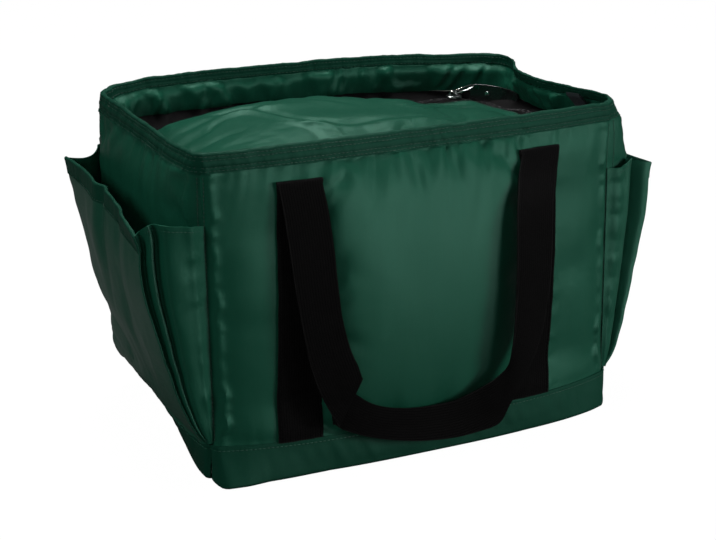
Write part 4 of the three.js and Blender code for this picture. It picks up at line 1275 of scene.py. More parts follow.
# It has puffed up on the left and along the back, and sunk on the right
lidPuff = 9 * mm * bump(lidX, -85 * mm, 75 * mm) * bump(lidY, 12 * mm, 80 * mm) * (1 - lidRing ** 3)
lidPuff = lidPuff - 7 * mm * bump(lidX, 115 * mm, 70 * mm) * (1 - lidRing ** 3)
backPuff = np.interp(lidX / mm, *lidShape["backPuff"]) * mm
lidPuff = lidPuff + backPuff * smoothStep(1 - lidRing, 0, 0.13) * smoothStep(lidY, 0, 80 * mm)
sink = 6 * mm * smoothStep(lidX, 70 * mm, 150 * mm) * smoothStep(lidY, 0, 80 * mm)
lidPuff = lidPuff - sink

# Slack in the cover lies in a few folds: places along each in millimetres, height, width
lidFolds = [
    (((-150, 44), (-92, 37), (-63, -9), (-30, -28), (10, -26), (54, -20), (90, -24)), 2.2 * mm, 6 * mm),
    (((-130, 56), (-98, 41), (-55, 32)), 1.5 * mm, 4 * mm),
    (((-68, -14), (-45, -23)), 2.4 * mm, 3.5 * mm),
    (((33, 55), (57, 22), (77, 23), (110, 40)), 1.4 * mm, 5 * mm),
    (((-49, 62), (-29, 38), (10, 14)), 0.9 * mm, 7 * mm),
]


def foldHeight(x, y, places, height, width):
    best, side, share = np.full(x.shape, 1.0), np.zeros(x.shape), np.zeros(x.shape)
    places = curveThrough(np.array(places) * mm, 40)
    for i, (start, end) in enumerate(zip(places[:-1], places[1:])):
        step = end - start
        t = np.clip(((x - start[0]) * step[0] + (y - start[1]) * step[1]) / step.dot(step), 0, 1)
        gapX, gapY = x - start[0] - t * step[0], y - start[1] - t * step[1]
        gap = np.hypot(gapX, gapY)
        nearer = gap < best
        best = np.where(nearer, gap, best)
        side = np.where(nearer, np.sign(step[0] * gapY - step[1] * gapX), side)
        share = np.where(nearer, (i + t) / 39, share)
    signed = side * best
    ridge = bump(signed, -0.5 * width, width * 0.8) - bump(signed, 0.7 * width, width * 0.6)
    return height * ridge * np.sin(math.pi * np.clip(share, 0, 1)) ** 0.6


for places, height, width in lidFolds:
    lidPuff = lidPuff + foldHeight(lidX, lidY, places, height, width) * (1 - lidRing ** 8)
lidBase = np.stack([lidX, lidY, lidEdgeTop + lidShape["crown"] * (1 - lidRing ** 2.2) + lidPuff], -1)


def simulateLid():
    quads, _ = gridQuads(lidShape["rowCount"], lidShape["columns"], False, False)
    pins = smoothStep(lidRing, 0.955, 1.0)
    uneven = 0.35 * mm * patchNoise(lidX, lidY, 11 * mm, 11 * mm, 41) * (1 - pins)
    start = lidBase + upAxis * uneven[..., None]
    moved = simulateCloth(start.reshape(-1, 3), quads, pins.ravel(), lidWork).reshape(lidBase.shape)
    shift = moved - lidBase
    shift[..., 2] -= np.median(shift[..., 2][lidRing < 0.8])
    size = np.linalg.norm(shift, axis=-1, keepdims=True)
    print("stage: lid simulated, largest move %.1f mm" % (size.max() / mm))
    limited = np.tanh(size / (4 * mm)) * 4 * mm / np.maximum(size, 1e-9)
    return shift * limited * smoothStep(1 - lidRing, 0, 0.1)[..., None]


lidShift = simulateLid()
onEnds = np.abs(lidX) / lidHalf[0] > np.abs(lidY - lidCentreY) / lidHalf[1]
edgePucker = 0.9 * mm * ripple(np.where(onEnds, lidY, lidX), 8 * mm, 43)
edgePucker = edgePucker * bump(lidRing, 0.93, 0.06)
lidFace = lidBase + lidShift + upAxis * edgePucker[..., None]
down = -upAxis
lidSkin = lidFace + down * lidShape["skin"]
lidCover = closedSheet("lid_top", lidFace, lidSkin, "panel", "lid", slot="green_nylon", replaces=["lid_cover"])
lidCover.modifiers.new("smooth", "SUBSURF").levels = 1
lidCover.modifiers["smooth"].render_levels = 1


def lidLayer(name, drop, thickness, look, slot, node):
    keep = (slice(None, None, 2), slice(None, None, 3))
    top = relaxed(lidFace, 25)[keep] + down * (drop + 1.5 * mm)
    top[..., 0] *= 0.995
    top[..., 1] = mix(lidCentreY, top[..., 1], 0.995)
    return closedSheet(name, top, top + down * thickness, look, "lid", slot=slot, replaces=[node])


lidPad = lidLayer("lid_pad", lidShape["skin"] + 0.3 * mm, 5 * mm, "foam", "insulation_foam", "lid_foam")
lidLayer("lid_film", lidShape["skin"] + 5.6 * mm, 0.6 * mm, "foil", "foil_lining", "lid_lining")
edgeRun = np.concatenate([lidFace[1, 1:-1], lidFace[1:-1, -2], lidFace[-2, 1:-1][::-1], lidFace[1:-1, 1][::-1]])
sew("lid", edgeRun + upAxis * 0.15 * mm, np.tile(upAxis, (len(edgeRun), 1)))


# Hinge strip at the front: fabric from the lid's edge to the collar
def hingeStrip():
    loop = zipRun(-lidEdgeInset, whole=True)[:-1]
    cornerEnd = lidCentreY - (zipHalf[1] - zipShape["radius"])
    start = int(np.argmin(np.abs(loop[:, 1] - cornerEnd) + (loop[:, 0] > 0)))
    order = np.roll(loop, -start, 0)
    stop = int(np.argmin(np.abs(order[:, 1] - cornerEnd) + (order[:, 0] < 0)))
    path = evenly(order[:stop + 1], 200)
    normal = sideways(path)
    reach = reachRing(path, normal, collarRing)
    rows = []
    for share in np.linspace(0, 1, 9):
        wave = 0.6 * mm * ripple(np.arange(200) * 2 * mm, 9 * mm, 51) * math.sin(math.pi * share)
        offset = mix(0.3 * mm, reach - 0.2 * mm, share)
        rows.append(path + normal * offset[:, None] + atLid + upAxis * wave[:, None])
    return thickened("hinge_cloth", np.stack(rows), 0.7 * mm, "panel", "bag", slot="green_nylon",
                     replaces=["lid_hinge_strip"])


hingeStrip()


# Solid helpers for the small hard pieces
def corners(node):
    return tuple(np.array(corner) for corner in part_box(node))
def roundedBlock(name, low, high, radius, look, body, **more):
    count = 7
    faces = []
    axes = [(0, 1, 2), (1, 2, 0), (2, 0, 1)]
    centre, half = (low + high) / 2, (high - low) / 2 - radius
    for axis, b, c in axes:
        for sign in (-1, 1):
            u, v = np.meshgrid(np.linspace(-1, 1, count), np.linspace(-1, 1, count))
            u, v = np.sign(u) * np.abs(u) ** 0.6, np.sign(v) * np.abs(v) ** 0.6
            point = np.zeros((count, count, 3))
            point[..., axis], point[..., b], point[..., c] = sign, u, v
            core = np.clip(point * (half + radius), -half, half)
            point = centre + core + unit(point * (half + radius) - core + 1e-9) * radius
            quads, _ = gridQuads(count, count, False, False)
            faces.append((point.reshape(-1, 3), quads if sign > 0 else quads[:, ::-1]))
    verts, quads = merged(faces)
    return makePiece(name, verts, quads, look, body, **more)


for label in ("right", "left"):
    roundedBlock("zip_end_cover_" + label, *corners("zip_stop_" + label), 1.2 * mm, "tape", "bag",
                 slot="black_tape", replaces=["zip_stop_" + label])


# Slider: two shaped plates, a bridge between them and an arched lug
sliderShape = {
    "length": 15 * mm,
    "width": 11.5 * mm,
    "plate": 1.4 * mm,
    "gap": 1.5 * mm,
    "lugHeight": 4.4 * mm,
    "sunk": 4.8 * mm,
    "further": 4 * mm,
}
sliderLow, sliderHigh = corners("zip_slider")
sliderX = (sliderLow[0] + sliderHigh[0]) / 2 + sliderShape["further"]
sliderY = (sliderLow[1] + sliderHigh[1]) / 2


def plateOutline(count=64):
    angle = np.linspace(0, 2 * math.pi, count, endpoint=False)
    x = np.sign(np.cos(angle)) * np.abs(np.cos(angle)) ** 0.45 * sliderShape["length"] / 2
    y = np.sign(np.sin(angle)) * np.abs(np.sin(angle)) ** 0.5 * sliderShape["width"] / 2
    taper = mix(0.72, 1.0, smoothStep(x, -sliderShape["length"] / 2, sliderShape["length"] * 0.2))
    return np.stack([x, y * taper], -1)


def plate(z0, z1, edge):
    outline = plateOutline()
    bevel = 0.35 * mm
    section = [(z0, 0.01), (z0, 0.9), (z0, 1 - edge), (z0 + bevel, 1)]
    section += [(z1 - bevel, 1), (z1, 1 - edge), (z1, 0.9), (z1, 0.01)]
    rings = [np.column_stack([outline * share, np.full(len(outline), z)]) for z, share in section]
    points = np.stack(rings)
    quads, _ = gridQuads(len(points), len(outline), True, True)
    return points.reshape(-1, 3), quads


def sliderPiece():
    gap, thick = sliderShape["gap"], sliderShape["plate"]
    parts = [plate(gap, gap + thick, 0.06), plate(-gap - thick, -gap, 0.06)]
    for side in (-1, 1):  # flanges turned in towards the tapes
        t = np.linspace(-0.82, 0.82, 14)
        inset = side * sliderShape["width"] * 0.5 * mix(0.74, 0.97, smoothStep(t, -1, 0.4))
        flange = np.column_stack([t * sliderShape["length"] / 2, inset, 0 * t + gap * 0.72])
        parts.append(tube(flange, 0.65 * mm, 8))
    halfArch = [(4.2, -0.3), (4.1, 2.2), (2.4, 4.1)]
    arch = [(-x, z) for x, z in halfArch] + [(0, 4.5)] + halfArch[::-1]
    arch = [(x * mm, 0, gap + thick + z * mm) for x, z in arch]
    parts.append(tube(curveThrough(arch, 28), 0.75 * mm, 10, squash=(1.0, 2.0)))
    bridge = [[5.2 * mm, 0, -gap - 0.5 * mm], [5.2 * mm, 0, gap + 0.5 * mm]]
    parts.append(tube(curveThrough(bridge, 4), 0.4 * mm, 8, squash=(4, 1)))
    verts, quads = merged(parts)
    verts = verts + np.array([sliderX, sliderY, lidLevel - sliderShape["sunk"]])
    return makePiece("slider_body", verts, quads, "metal", "slider", slot="bright_metal",
                     replaces=["zip_slider"], angle=60)


sliderPiece()

# Ring through the lug, leaning up to the corner of the bag, and the stiff pull that it holds
pullShape = {
    "ring": (11 * mm, 6.6 * mm),
    "wire": 0.7 * mm,
    "lean": 20,
    "turn": -22,
    "thickness": 1.6 * mm,
    "height": 17 * mm,
    "tilt": 6,
    "hole": 2.6 * mm,
    "path": ((-2, 2, -7), (0, 0, -7), (12, -9, -7.5), (21, -22, -8.5), (25, -44, -9.5)),  # mm from the grip
}
lean, ringTurn = math.radians(pullShape["lean"]), math.radians(pullShape["turn"])
ringLevel = np.array([math.cos(ringTurn), math.sin(ringTurn), 0])
ringDirection = ringLevel * math.cos(lean) + upAxis * math.sin(lean)
ringAcross = np.array([-math.sin(ringTurn), math.cos(ringTurn), 0])
lugTop = sliderShape["gap"] + sliderShape["plate"] + sliderShape["lugHeight"]
lugCentre = np.array([sliderX, sliderY, lidLevel - sliderShape["sunk"] + lugTop - 2.3 * mm])
ringCentre = lugCentre + ringDirection * pullShape["ring"][0]
angles = np.linspace(0, 2 * math.pi, 48, endpoint=False)
ringPath = ringCentre + (pullShape["ring"][0] * np.cos(angles)[:, None] * ringDirection
                         + pullShape["ring"][1] * np.sin(angles)[:, None] * ringAcross)
ringVerts, ringQuads = tube(ringPath, pullShape["wire"], 12, closed=True)
makePiece("pull_ring", ringVerts, ringQuads, "metal", "pull", slot="bright_metal", replaces=["zip_pull_ring"],
          angle=80)

grip = ringCentre + ringDirection * (pullShape["ring"][0] - 1 * mm)
pullPath = curveThrough([grip + np.array(p) * mm for p in pullShape["path"]], 60)


def pullPiece():
    normal = -sideways(pullPath)
    length = np.linalg.norm(np.diff(pullPath, axis=0), axis=1).sum()
    at = np.linspace(0, length, len(pullPath))
    corner = 4 * mm
    fromEnd = np.minimum(at, length - at)
    trim = np.where(fromEnd < corner, corner - np.sqrt(np.maximum(corner ** 2 - (corner - fromEnd) ** 2, 0)), 0)
    halfHeight, halfThick = pullShape["height"] / 2, pullShape["thickness"] / 2
    section = []
    for a in np.linspace(0, 2 * math.pi, 28, endpoint=False):
        c, s = math.cos(a), math.sin(a)
        section.append((np.sign(c) * abs(c) ** 0.25, np.sign(s) * abs(s) ** 0.16))
    section = np.array(section)
    tilt = math.radians(pullShape["tilt"])
    outer = normal * np.sign(normal @ np.array([1, 1, 0]))[:, None]
    upright = outer * math.sin(tilt) + upAxis * math.cos(tilt)
    normal = outer * math.cos(tilt) - upAxis * math.sin(tilt)
    points = pullPath[:, None] + normal[:, None] * (section[None, :, :1] * halfThick)
    points = points + upright[:, None] * (section[None, :, 1:] * (halfHeight - trim)[:, None, None])
    rib = 0.25 * mm * (np.abs(section[None, :, 1]) > 0.8) * np.ones((len(pullPath), 1))
    points = points + normal[:, None] * (np.sign(section[None, :, :1]) * rib[..., None])
    quads, _ = gridQuads(len(pullPath), len(section), False, True)
    flat = points.reshape(-1, 3)
    ends = []
    for row in (0, len(pullPath) - 1):
        ids = row * len(section) + np.arange(len(section))
        half = len(section) // 2
        cap = [[ids[i], ids[i + 1], ids[-2 - i], ids[-1 - i]] for i in range(half - 1)]
        ends += cap if row else [face[::-1] for face in cap]
    quads = np.concatenate([quads, np.array(ends)])
    piece = makePiece("pull_strap", flat, quads, "strap", "pull", slot="pull_strap", replaces=["zip_pull_tab"])
    first = int(0.1 * len(pullPath))
    direction = normal[first]
    holeAt = pullPath[first] + upright[0] * 5.4 * mm
    drill = np.array([holeAt - direction * 6 * mm, holeAt, holeAt + direction * 6 * mm])
    cutter = linked("holeCut", meshOf("holeCut", *tube(drill, pullShape["hole"], 24)))
    hole = piece.modifiers.new("hole", "BOOLEAN")
    hole.operation, hole.object, hole.solver = "DIFFERENCE", cutter, "EXACT"
    evaluated = piece.evaluated_get(bpy.context.evaluated_depsgraph_get())
    cut = bpy.data.meshes.new_from_object(evaluated)
    piece.modifiers.clear()
    piece.data = cut
    bpy.data.objects.remove(cutter)
    return piece, normal


pullTab, pullNormals = pullPiece()
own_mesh(pullTab)


def rivetPiece():
    index = int(0.3 * len(pullPath))
    place, direction = pullPath[index], pullNormals[index]
    across = np.cross(direction, upAxis)
    halfProfile = [(2.5, 0.01), (2.5, 1.6), (2.3, 2.3), (1.8, 2.6), (1.5, 2.5), (1.45, 1.3)]
    profile = [(-height, radius) for height, radius in halfProfile] + halfProfile[::-1]
    turn = np.linspace(0, 2 * math.pi, 28, endpoint=False)
    circle = np.cos(turn)[:, None] * across + np.sin(turn)[:, None] * upAxis
    points = np.stack([place + direction * (height * mm) + radius * mm * circle for height, radius in profile])
    quads, _ = gridQuads(len(points), len(turn), True, True)
    return makePiece("pull_rivet", points, quads, "metal", "pull", slot="bright_metal",
                     replaces=["zip_pull_rivet"], angle=40)


rivetPiece()


# Ribbon tab on the inside of the right wall, folded double
def ribbonTab():
    low, high = corners("zip_end_tab")
    ys = np.linspace(low[1], high[1], 15)
    levels = np.linspace(low[2], rimTop - 4 * mm, 14)
    path = np.concatenate([levels, levels[::-1][1:]])
    offset = np.concatenate([np.full(13, 0.0), [0.8 * mm], np.full(13, 1.6 * mm)])
    rows = []
    for z, out in zip(path, offset):
        wall = surfaceAt("right", alongEnd(ys, z), np.full(len(ys), z), collar["wall"], 0.25)
        curl = 1.2 * mm * ((z - low[2]) / (levels[-1] - low[2])) ** 2
        rows.append(wall - np.array([1.0, 0, 0]) * (2.2 * mm + out + curl))
    return thickened("ribbon_loop", np.stack(rows), 0.6 * mm, "ribbon", "bag", slot="black_tape",
                     replaces=["zip_end_tab"])


ribbonTab()
print("stage: zip hardware")

# Webbing handles: legs sewn up the wall, and a loop that folds over their tops and hangs in front
strapShape = {
    "width": 40 * mm,
    "thickness": 1.8 * mm,
    "out": 0.35 * mm,
    "lean": {"front": (-9 * mm, -14 * mm), "back": (9 * mm, 14 * mm)},
    "columns": 19,
}


def onWall(side, x, z, out, calm=1.0):
    point = surfaceAt(side, np.asarray(x) / cornerAt(z)[0], z, out, calm)
    point[..., 0] = x
    return point


def strapLeg(side, label):
    sign = -1 if label == "left" else 1
    lean = strapShape["lean"][side][0 if label == ("left" if side == "front" else "right") else 1]
    levels = np.linspace(bandTop - 0.2 * mm, legTop - 2 * mm, 90)
    shares = np.linspace(-1, 1, strapShape["columns"])
    t, z = np.meshgrid(shares, levels)
    centre = sign * bagShape["strapX"] + lean * (1 - (z - bandTop) / (legTop - bandTop)) ** 1.1
    x = centre + t * strapShape["width"] / 2 + 0.3 * mm * ripple(z, 18 * mm, 70)
    shaped = onWall(side, x, z, strapShape["out"])
    level = shaped[..., 1].mean(1, keepdims=True)
    shaped[..., 1] = mix(shaped[..., 1], level, 0.35)
    edge = (1 - np.abs(t) ** 10)[..., None]
    face = shaped + outward(side) * strapShape["thickness"] * mix(0.45, 1.0, edge)
    closedSheet(f"{side}_webbing_leg_{label}", face, shaped, "webbing", "bag", slot="black_webbing",
                replaces=[f"{side}_strap_{label}"])
    face = face + outward(side) * 0.05 * mm
    for share in (-0.86, 0.86):
        column = int(round((share + 1) / 2 * (len(shares) - 1)))
        sew("bagDark", face[:, column], np.tile(outward(side), (len(levels), 1)), pitch=3.4 * mm)
    for row in (-6, -14):
        sew("bagDark", face[row], np.tile(outward(side), (len(shares), 1)), pitch=3.2 * mm, length=2.5 * mm)


# Rows across the loop: outer edge x, z and distance off the wall, then the inner edge, in millimetres
loopRows = [
    (-134, 250, 3.8, -96, 251, 3.8), (-131.5, 226, 5, -93.5, 228, 5), (-129.5, 200, 6, -92, 200, 6),
    (-127, 166, 7, -91, 166, 7), (-123, 134, 8, -89, 138, 8), (-118.5, 105, 9.5, -83.5, 112, 9.5),
    (-111, 78, 11, -78.5, 98, 11.5), (-102.5, 58, 12.2, -76, 89.5, 12.6), (-96.2, 46, 12.6, -75.2, 86.6, 12.8),
    (-95.6, 45.4, 11.4, -74.6, 86, 11.4), (-96.6, 45.6, 10.2, -77, 85.5, 10.2), (-97.4, 45.6, 9.9, -94, 84.6, 9.8),
    (-98, 45.5, 8.8, -102, 84, 8.6), (-97, 45, 7.6, -99, 83.5, 7.4), (-93.5, 42, 7.4, -89, 80, 7),
    (-85.5, 37, 8.4, -78, 70, 7), (-66, 29.5, 11, -62, 58.5, 7.5), (-42, 23, 13, -40, 51, 8),
    (-14, 18, 14.5, -14, 47.5, 8), (14, 15.8, 15, 12, 47, 8), (36, 17, 15, 32, 51.5, 8), (54, 19, 14, 50, 58.5, 8.5),
    (63.5, 24, 12.5, 61.5, 65.5, 9), (72, 38, 11, 68, 72.5, 9.5), (88, 62, 9.5, 71.5, 86, 9.5),
    (104, 92, 8.5, 74, 104, 9), (114, 134, 7.5, 77, 138, 8), (119, 172, 6.5, 80, 174, 7),
    (123, 207, 6, 83.5, 207, 6), (130, 236, 4.8, 90, 237, 4.8), (134, 250, 3.8, 95.5, 251, 3.8),
]

def handleLoop(side):
    rows = np.array(loopRows, float)
    # The front's right run stands further off, and its places shift along the line of sight
    away = (13 if side == "front" else 0) * smoothStep(rows[:, 0], 15, 95) * smoothStep(250 - rows[:, 1], 0, 60)
    for k in (0, 3):
        rows[:, k:k + 3] += np.stack([-0.5 * away, 0.38 * away, away], -1)
    body = np.vstack([splineThrough(rows, 9, False), rows[-1:]]) * mm
    start = [(legTop - 2 * mm, 1.2 * mm)]
    for angle in np.radians(np.linspace(180, 15, 9)):
        start.append((legTop + 0.4 * mm + 1.3 * mm * math.sin(angle), 2.5 * mm + 1.3 * mm * math.cos(angle)))

    def foldRows(xOuter, xInner, order):
        return np.array([(xOuter, z, out, xInner, z, out) for z, out in order])

    left = foldRows(-135 * mm, -95 * mm, start)
    right = foldRows(135 * mm, 95 * mm, start[::-1])
    rows = np.vstack([left, body, right])
    if side == "back":
        rows[:, [0, 3]] *= -1
    shares = np.linspace(0, 1, strapShape["columns"])[None, :, None]
    middle = mix(rows[:, None, :3], rows[:, None, 3:], shares)
    points = onWall(side, middle[..., 0], np.clip(middle[..., 1], 1 * mm, None), middle[..., 2], 0.35)
    points[..., 2] = middle[..., 1]
    crown = 0.5 * mm * (1 - (2 * shares[..., 0] - 1) ** 2) * np.sin(np.linspace(0, math.pi, len(rows)))[:, None]
    points += crown[..., None] * outward(side)
    return thickened(side + "_webbing_loop", points, strapShape["thickness"], "webbing", side + "_handle",
                     slot="black_webbing", replaces=[side + "_handle_loop"], angle=70)


for side in ("front", "back"):
    strapLeg(side, "left")
    strapLeg(side, "right")
    handleLoop(side)
print("stage: handles")


# Bellows pockets on the two ends, with pleated gussets; edges are given for the left one, in millimetres
pocketShape = {
    "frontEdge": [(-201.5, -116.5, 32.2), (-211, -116, 44), (-222, -111.5, 76), (-235.5, -105.5, 127),
                  (-246, -101.5, 172), (-247.5, -99, 206), (-250, -98, 218)],
    "backEdge": [(-200.5, 115, 32.2), (-203, 113, 46), (-201.5, 110, 70), (-209.5, 107.5, 98), (-219.5, 105, 123),
                 (-225, 103, 153), (-235, 100, 193), (-243, 98, 235.6)],
    "belly": 7 * mm,
    "stretch": {"left": 0, "right": 4.5 * mm},
    "topSag": {"left": 0, "right": 12 * mm},
    "skin": 1 * mm,
    "hem": 15 * mm,
    # Gusset sections: share of the way out from the wall, then how far to the side and up
    "gusset": {
        "left_front": [(0, 0, 0), (0.14, 4.5, 3), (0.3, 7.5, 5), (0.48, 9, 7), (0.6, 8, 8.5), (0.69, 0, 8),
                       (0.75, -1.5, 8), (0.8, 3.5, 9), (0.85, 1, 7), (0.9, -6, 3), (0.95, -5, 1), (1, 0, 0)],
        "right_front": [(0, 0, 0), (0.17, 3, 0.5), (0.33, 5, 4), (0.44, 5, 8), (0.51, -2, 5), (0.57, -13, 3),
                        (0.63, -20, 2), (0.71, -17, 2), (0.81, -9, 1), (0.91, -2.5, 0.5), (1, 0, 0)],
        "back": [(0, 0, 0), (0.15, 1, 0), (0.3, -3, -1), (0.5, -8, -3), (0.7, -9, -3), (0.85, -5, -2), (1, 0, 0)],
    },
    "seamTop": {"front": 223.8, "back": 238},
}
pocketRows = 61
edgeCurves = {end: curveThrough(pocketShape[end + "Edge"], pocketRows) * mm for end in ("front", "back")}
pocketSeams = {}


def pocketPoint(a, v, seed):
    place = v * (pocketRows - 1)
    i = np.minimum(place.astype(int), pocketRows - 2)
    share = (place - i)[..., None]
    front, back = (mix(edgeCurves[end][i], edgeCurves[end][i + 1], share) for end in ("front", "back"))
    point = mix(front, back, ((a + 1) / 2)[..., None])
    middle = 1 - a * a
    belly = pocketShape["belly"] * middle ** 0.8 * np.sin(math.pi * np.clip(v, 0, 1)) ** 0.8
    belly = belly - 4 * mm * middle * v ** 6
    crease = -2.4 * mm * bump(a, 0.02 + 0.1 * (1 - v), 0.07) * smoothStep(v, 0.35, 0.8)
    crease = crease + 1.6 * mm * bump(a, 0.2 + 0.1 * (1 - v), 0.1) * smoothStep(v, 0.3, 0.8)
    crease = crease - 1.6 * mm * bump(a, -0.45 + 0.3 * (1 - v), 0.08) * smoothStep(v, 0.1, 0.5)
    loose = middle * smoothStep(v, 0.02, 0.2)
    noiseX = 2.0 * mm * patchNoise(point[..., 1], point[..., 2], 34 * mm, 60 * mm, seed)
    noiseX = noiseX + 0.5 * mm * patchNoise(point[..., 1], point[..., 2], 9 * mm, 22 * mm, seed + 1)
    pinch = 0.5 * mm * ripple(point[..., 2], 12 * mm, seed + 2) * (1 - middle)
    point[..., 0] -= belly + crease + loose * noiseX + pinch
    point[..., 2] += (5.5 * mm + 0.8 * mm * ripple(point[..., 1], 22 * mm, seed + 3)) * v ** 4 * middle
    foot = surfaceAt("left", alongEnd(point[..., 1], point[..., 2]), 33 * mm + 0 * v, 2.6 * mm)
    hold = np.exp(-v / 0.05)
    point[..., 0] = mix(point[..., 0], foot[..., 0], hold)
    return point


def mirrored(points, sign):
    return points * np.array([-sign, 1, 1.0])


# One pocket's cloth, pulled out and sagging as that pocket does, still on the left
def pocketCloth(label, a, v, seed):
    point = pocketPoint(a, v, seed)
    point[..., 0] -= pocketShape["stretch"][label] * v ** 3
    point[..., 2] -= pocketShape["topSag"][label] * (1 - a * a) * v ** 4
    return point


def pocketPanel(label, sign, seed):
    a, v = np.meshgrid(np.linspace(-1, 1, 61), np.linspace(0, 1, 81))
    face = pocketCloth(label, a, v, seed)
    normals = rowNormals(face)
    normals *= np.sign((normals * np.array([-1.0, 0, 0])).sum(-1).mean())
    back = face - normals * pocketShape["skin"]
    closedSheet(label + "_pocket_cloth", mirrored(face, sign), mirrored(back, sign), "panel", label + "_pocket",
                slot="green_nylon", replaces=[label + "_pocket_panel"])
    return normals[-3, np.round(np.linspace(0, 60, 81)).astype(int)]


# Folded hem: down the outside, round the top and down the inside
def pocketHem(label, sign, seed, normals):
    a, steps = np.meshgrid(np.linspace(-1, 1, 81), np.arange(21))
    height = edgeCurves["back"][-1, 2] - edgeCurves["back"][0, 2]
    depth = np.interp(steps, [0, 8, 12, 20], [1.0, 0.04, 0.04, 1.0]) * pocketShape["hem"]
    turn = [0, 8, 9, 10, 11, 12, 20]
    ridge = np.interp(steps, turn, [0, 0, 0.9, 1.2, 0.9, 0, 0]) * mm
    side = np.interp(steps, turn, [1, 1, 0.7, 0, -0.7, -1, -1])
    top = pocketCloth(label, a, 1 - depth / height, seed)
    normals = np.tile(normals[None], (21, 1, 1))
    centre = -pocketShape["skin"] / 2
    swell = 0.25 * mm * ripple(a * 98 * mm, 6 * mm, seed + 5)
    outer = top + normals * (centre + side * (1.55 * mm + swell))[..., None] + upAxis * ridge[..., None]
    inner = top + normals * (centre + side * 0.75 * mm)[..., None] + upAxis * (ridge * 0.4)[..., None]
    closedSheet(label + "_pocket_binding", mirrored(outer, sign), mirrored(inner, sign), "hem",
                label + "_pocket", slot="green_nylon", replaces=[label + "_pocket_hem"])
    sew(label + "_pocketHem", mirrored(outer[1] + normals[0] * 0.08 * mm, sign), mirrored(normals[0], sign),
        pitch=3.4 * mm, length=2.5 * mm)


# Pleated gusset from the wall's corner seam to the pocket's edge
def pocketGusset(label, sign, seed, end, ySign):
    shares = np.linspace(0, 1, pocketRows)
    edge = pocketCloth(label, np.full(pocketRows, ySign), shares, seed)
    seamZ = mix(34 * mm, pocketShape["seamTop"][end] * mm, shares)
    seam = surfaceAt("left", np.full(pocketRows, ySign), seamZ, 0.9 * mm)
    form = curveThrough(pocketShape["gusset"]["back" if end == "back" else label + "_front"], 57)
    span = edge - seam
    size = np.linalg.norm(span[:, :2], axis=1)
    flat = unit(span * np.array([1, 1, 0]))
    side = np.stack([flat[:, 1], -flat[:, 0], 0 * size], -1)
    side *= np.sign((side * np.array([0, ySign, 0])).sum(-1).mean())
    spread = (size / size[-1]) ** 0.9
    rows = seam[:, None] + span[:, None] * form[None, :, :1]
    rows = rows + side[:, None] * (form[None, :, 1:2] * mm * spread[:, None, None])
    rows[..., 2] += form[None, :, 2] * mm * (shares[:, None] ** 3)
    t = form[None, :, 0]
    ridge = 1.6 * mm * bump(t, 0.19, 0.07) * spread[:, None]
    wobble = 1.0 * mm * patchNoise(seamZ[:, None], t, 26 * mm, 0.22, seed + 9)
    wobble = wobble * np.sin(math.pi * t) * spread[:, None]
    tight = 2.0 * mm * (ripple(seamZ, 15 * mm, seed + 8) + 0.5 * ripple(seamZ, 6 * mm, seed + 12))[:, None]
    tight = tight * bump(t, 0.2, 0.12) * spread[:, None]
    rows += side[:, None] * (ridge + wobble + tight)[..., None]
    gusset = thickened(f"{label}_{end}_bellows", mirrored(rows, sign), 0.9 * mm, "panel", None,
                       slot="green_nylon", replaces=[f"{label}_pocket_{end}_gusset"])
    ends = (label + "_pocket", tuple(mirrored(seam[-1], sign)), tuple(mirrored(edge[-1], sign)))
    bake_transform(gusset)
    pocketSeams[f"{label}_{end}_gusset"] = ends
    near = rows[-2, 3:-3] - upAxis * 1.2 * mm
    threads = side[-1] * np.ones_like(near)
    sew(f"{label}_{end}_gusset", mirrored(near + threads * 0.5 * mm, sign), mirrored(threads, sign),
        pitch=3.4 * mm, length=2.5 * mm)


for label, sign, seed in (("left", -1, 400), ("right", 1, 430)):
    pocketHem(label, sign, seed, pocketPanel(label, sign, seed))
    pocketGusset(label, sign, seed, "front", -1.0)
    pocketGusset(label, sign, seed, "back", 1.0)
print("stage: pockets")

# Corner seams: a row of stitches each side of the join
seamGap = 2.6 * mm
for side in sides:
    for end in (-1, 1):
        levels = np.linspace(bandTop + 2 * mm, hemFoot - 1 * mm, 160)
        path = surfaceAt(side, end * (1 - seamGap / halfWidth(side, levels)), levels, 0.1 * mm)
        sew("bagHem", path, np.tile(outward(side), (160, 1)), pitch=3.6 * mm)

# A row's name is its body's, with an ending for the threads that aren't the lighter green: Hem for the darker green
# of painted shade, Dark for black
threadLooks = {"Hem": "shadedThread", "Dark": "darkThread"}
for key, parts in sewnRows.items():
    verts, quads = merged(parts)
    ending = next((ending for ending in threadLooks if key.endswith(ending)), "")
    body = None if key in pocketSeams else key.removesuffix(ending)
    piece = makePiece("stitching_" + key, verts, quads, threadLooks.get(ending, "thread"), body, angle=80)
    if key in pocketSeams:
        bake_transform(piece)
print("stage: stitching")


# Floor and light
stageLook = {"floor": (0.07, 0.07, 0.07), "world": 0.05, "shadow": 0.12, "glow": 1.13, "inGloss": 0.02}


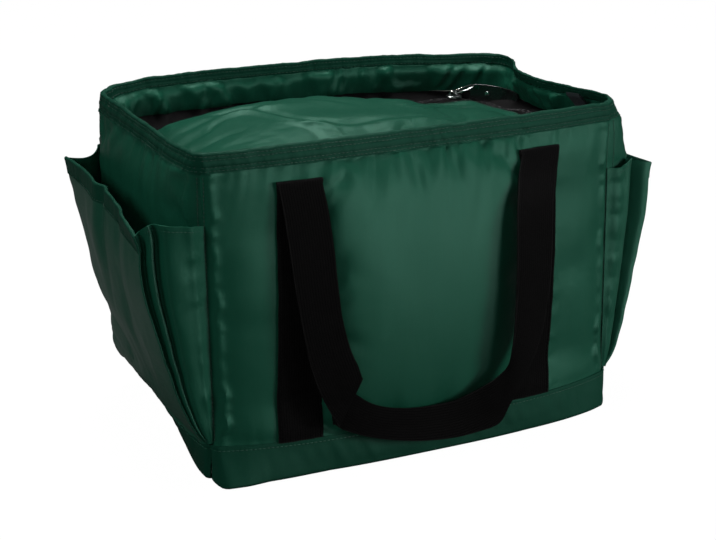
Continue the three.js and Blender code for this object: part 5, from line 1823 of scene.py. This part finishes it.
def stageSurface():
    material = bpy.data.materials.new("paleFloor")
    material.use_nodes = True
    tree = material.node_tree
    tree.nodes.clear()
    matte = tree.nodes.new("ShaderNodeBsdfDiffuse")
    matte.inputs["Color"].default_value = (*stageLook["floor"], 1)
    glow = tree.nodes.new("ShaderNodeEmission")
    glow.inputs["Strength"].default_value = stageLook["glow"]
    path = tree.nodes.new("ShaderNodeLightPath")
    direct = maths(tree, "MAXIMUM", path.outputs["Is Camera Ray"], path.outputs["Is Transmission Ray"])
    mirroredShare = maths(tree, "MULTIPLY", path.outputs["Is Glossy Ray"], stageLook["inGloss"])
    seen = maths(tree, "MAXIMUM", direct, mirroredShare)
    mixNode = tree.nodes.new("ShaderNodeMixShader")
    tree.links.new(maths(tree, "MULTIPLY", seen, 1 - stageLook["shadow"]), mixNode.inputs[0])
    tree.links.new(matte.outputs[0], mixNode.inputs[1])
    tree.links.new(glow.outputs[0], mixNode.inputs[2])
    out = tree.nodes.new("ShaderNodeOutputMaterial")
    tree.links.new(mixNode.outputs[0], out.inputs[0])
    return material


floorMesh = bpy.data.meshes.new("floor")
floorCorners = [(x, y, -0.2 * mm) for x, y in ((-8, -8), (8, -8), (8, 8), (-8, 8))]
floorMesh.from_pydata(floorCorners, [], [(0, 1, 2, 3)])
floorMesh.materials.append(stageSurface())
floor = linked("floor", floorMesh)

world = bpy.data.worlds.new("studio")
scene.world = world
world.use_nodes = True
tree = world.node_tree
tree.nodes.clear()
soft = tree.nodes.new("ShaderNodeBackground")
soft.inputs["Strength"].default_value = stageLook["world"]
white = tree.nodes.new("ShaderNodeBackground")
white.inputs["Strength"].default_value = 1.0
path = tree.nodes.new("ShaderNodeLightPath")
mixNode = tree.nodes.new("ShaderNodeMixShader")
tree.links.new(path.outputs["Is Camera Ray"], mixNode.inputs[0])
tree.links.new(soft.outputs[0], mixNode.inputs[1])
tree.links.new(white.outputs[0], mixNode.inputs[2])
out = tree.nodes.new("ShaderNodeOutputWorld")
tree.links.new(mixNode.outputs[0], out.inputs[0])

# Where each lamp stands, what it is aimed at, its size and its power in watts
lamps = {
    "keySoftbox": ((1.79, -1.5, 0.46), (0.02, -0.1, 0.14), 0.5, 62),
    "topSoftbox": ((0.1, 0.32, 2.2), (0, 0, 0.2), 0.9, 84),
    "leftFill": ((-2.0, -0.35, 1.35), (-0.1, 0, 0.15), 0.8, 32),
    "frontFill": ((-1.3, -2.2, 0.9), (0, 0, 0.15), 0.9, 11),
    "sheenCard": ((1.14, -1.97, 0.5), (0, -0.1, 0.14), 0.6, 54),
}
for name, (place, aim, size, power) in lamps.items():
    data = bpy.data.lights.new(name, "AREA")
    data.size = size
    data.energy = power
    lamp = linked(name, data)
    lamp.location = place
    lamp.visible_glossy = name not in ("keySoftbox", "frontFill", "leftFill")
    lamp.visible_diffuse = name != "sheenCard"
    x, y, z = np.array(aim) - np.array(place)
    lamp.rotation_euler = (math.atan2(math.hypot(x, y), -z), 0, math.atan2(y, x) - math.pi / 2)
print("stage: light and floor")
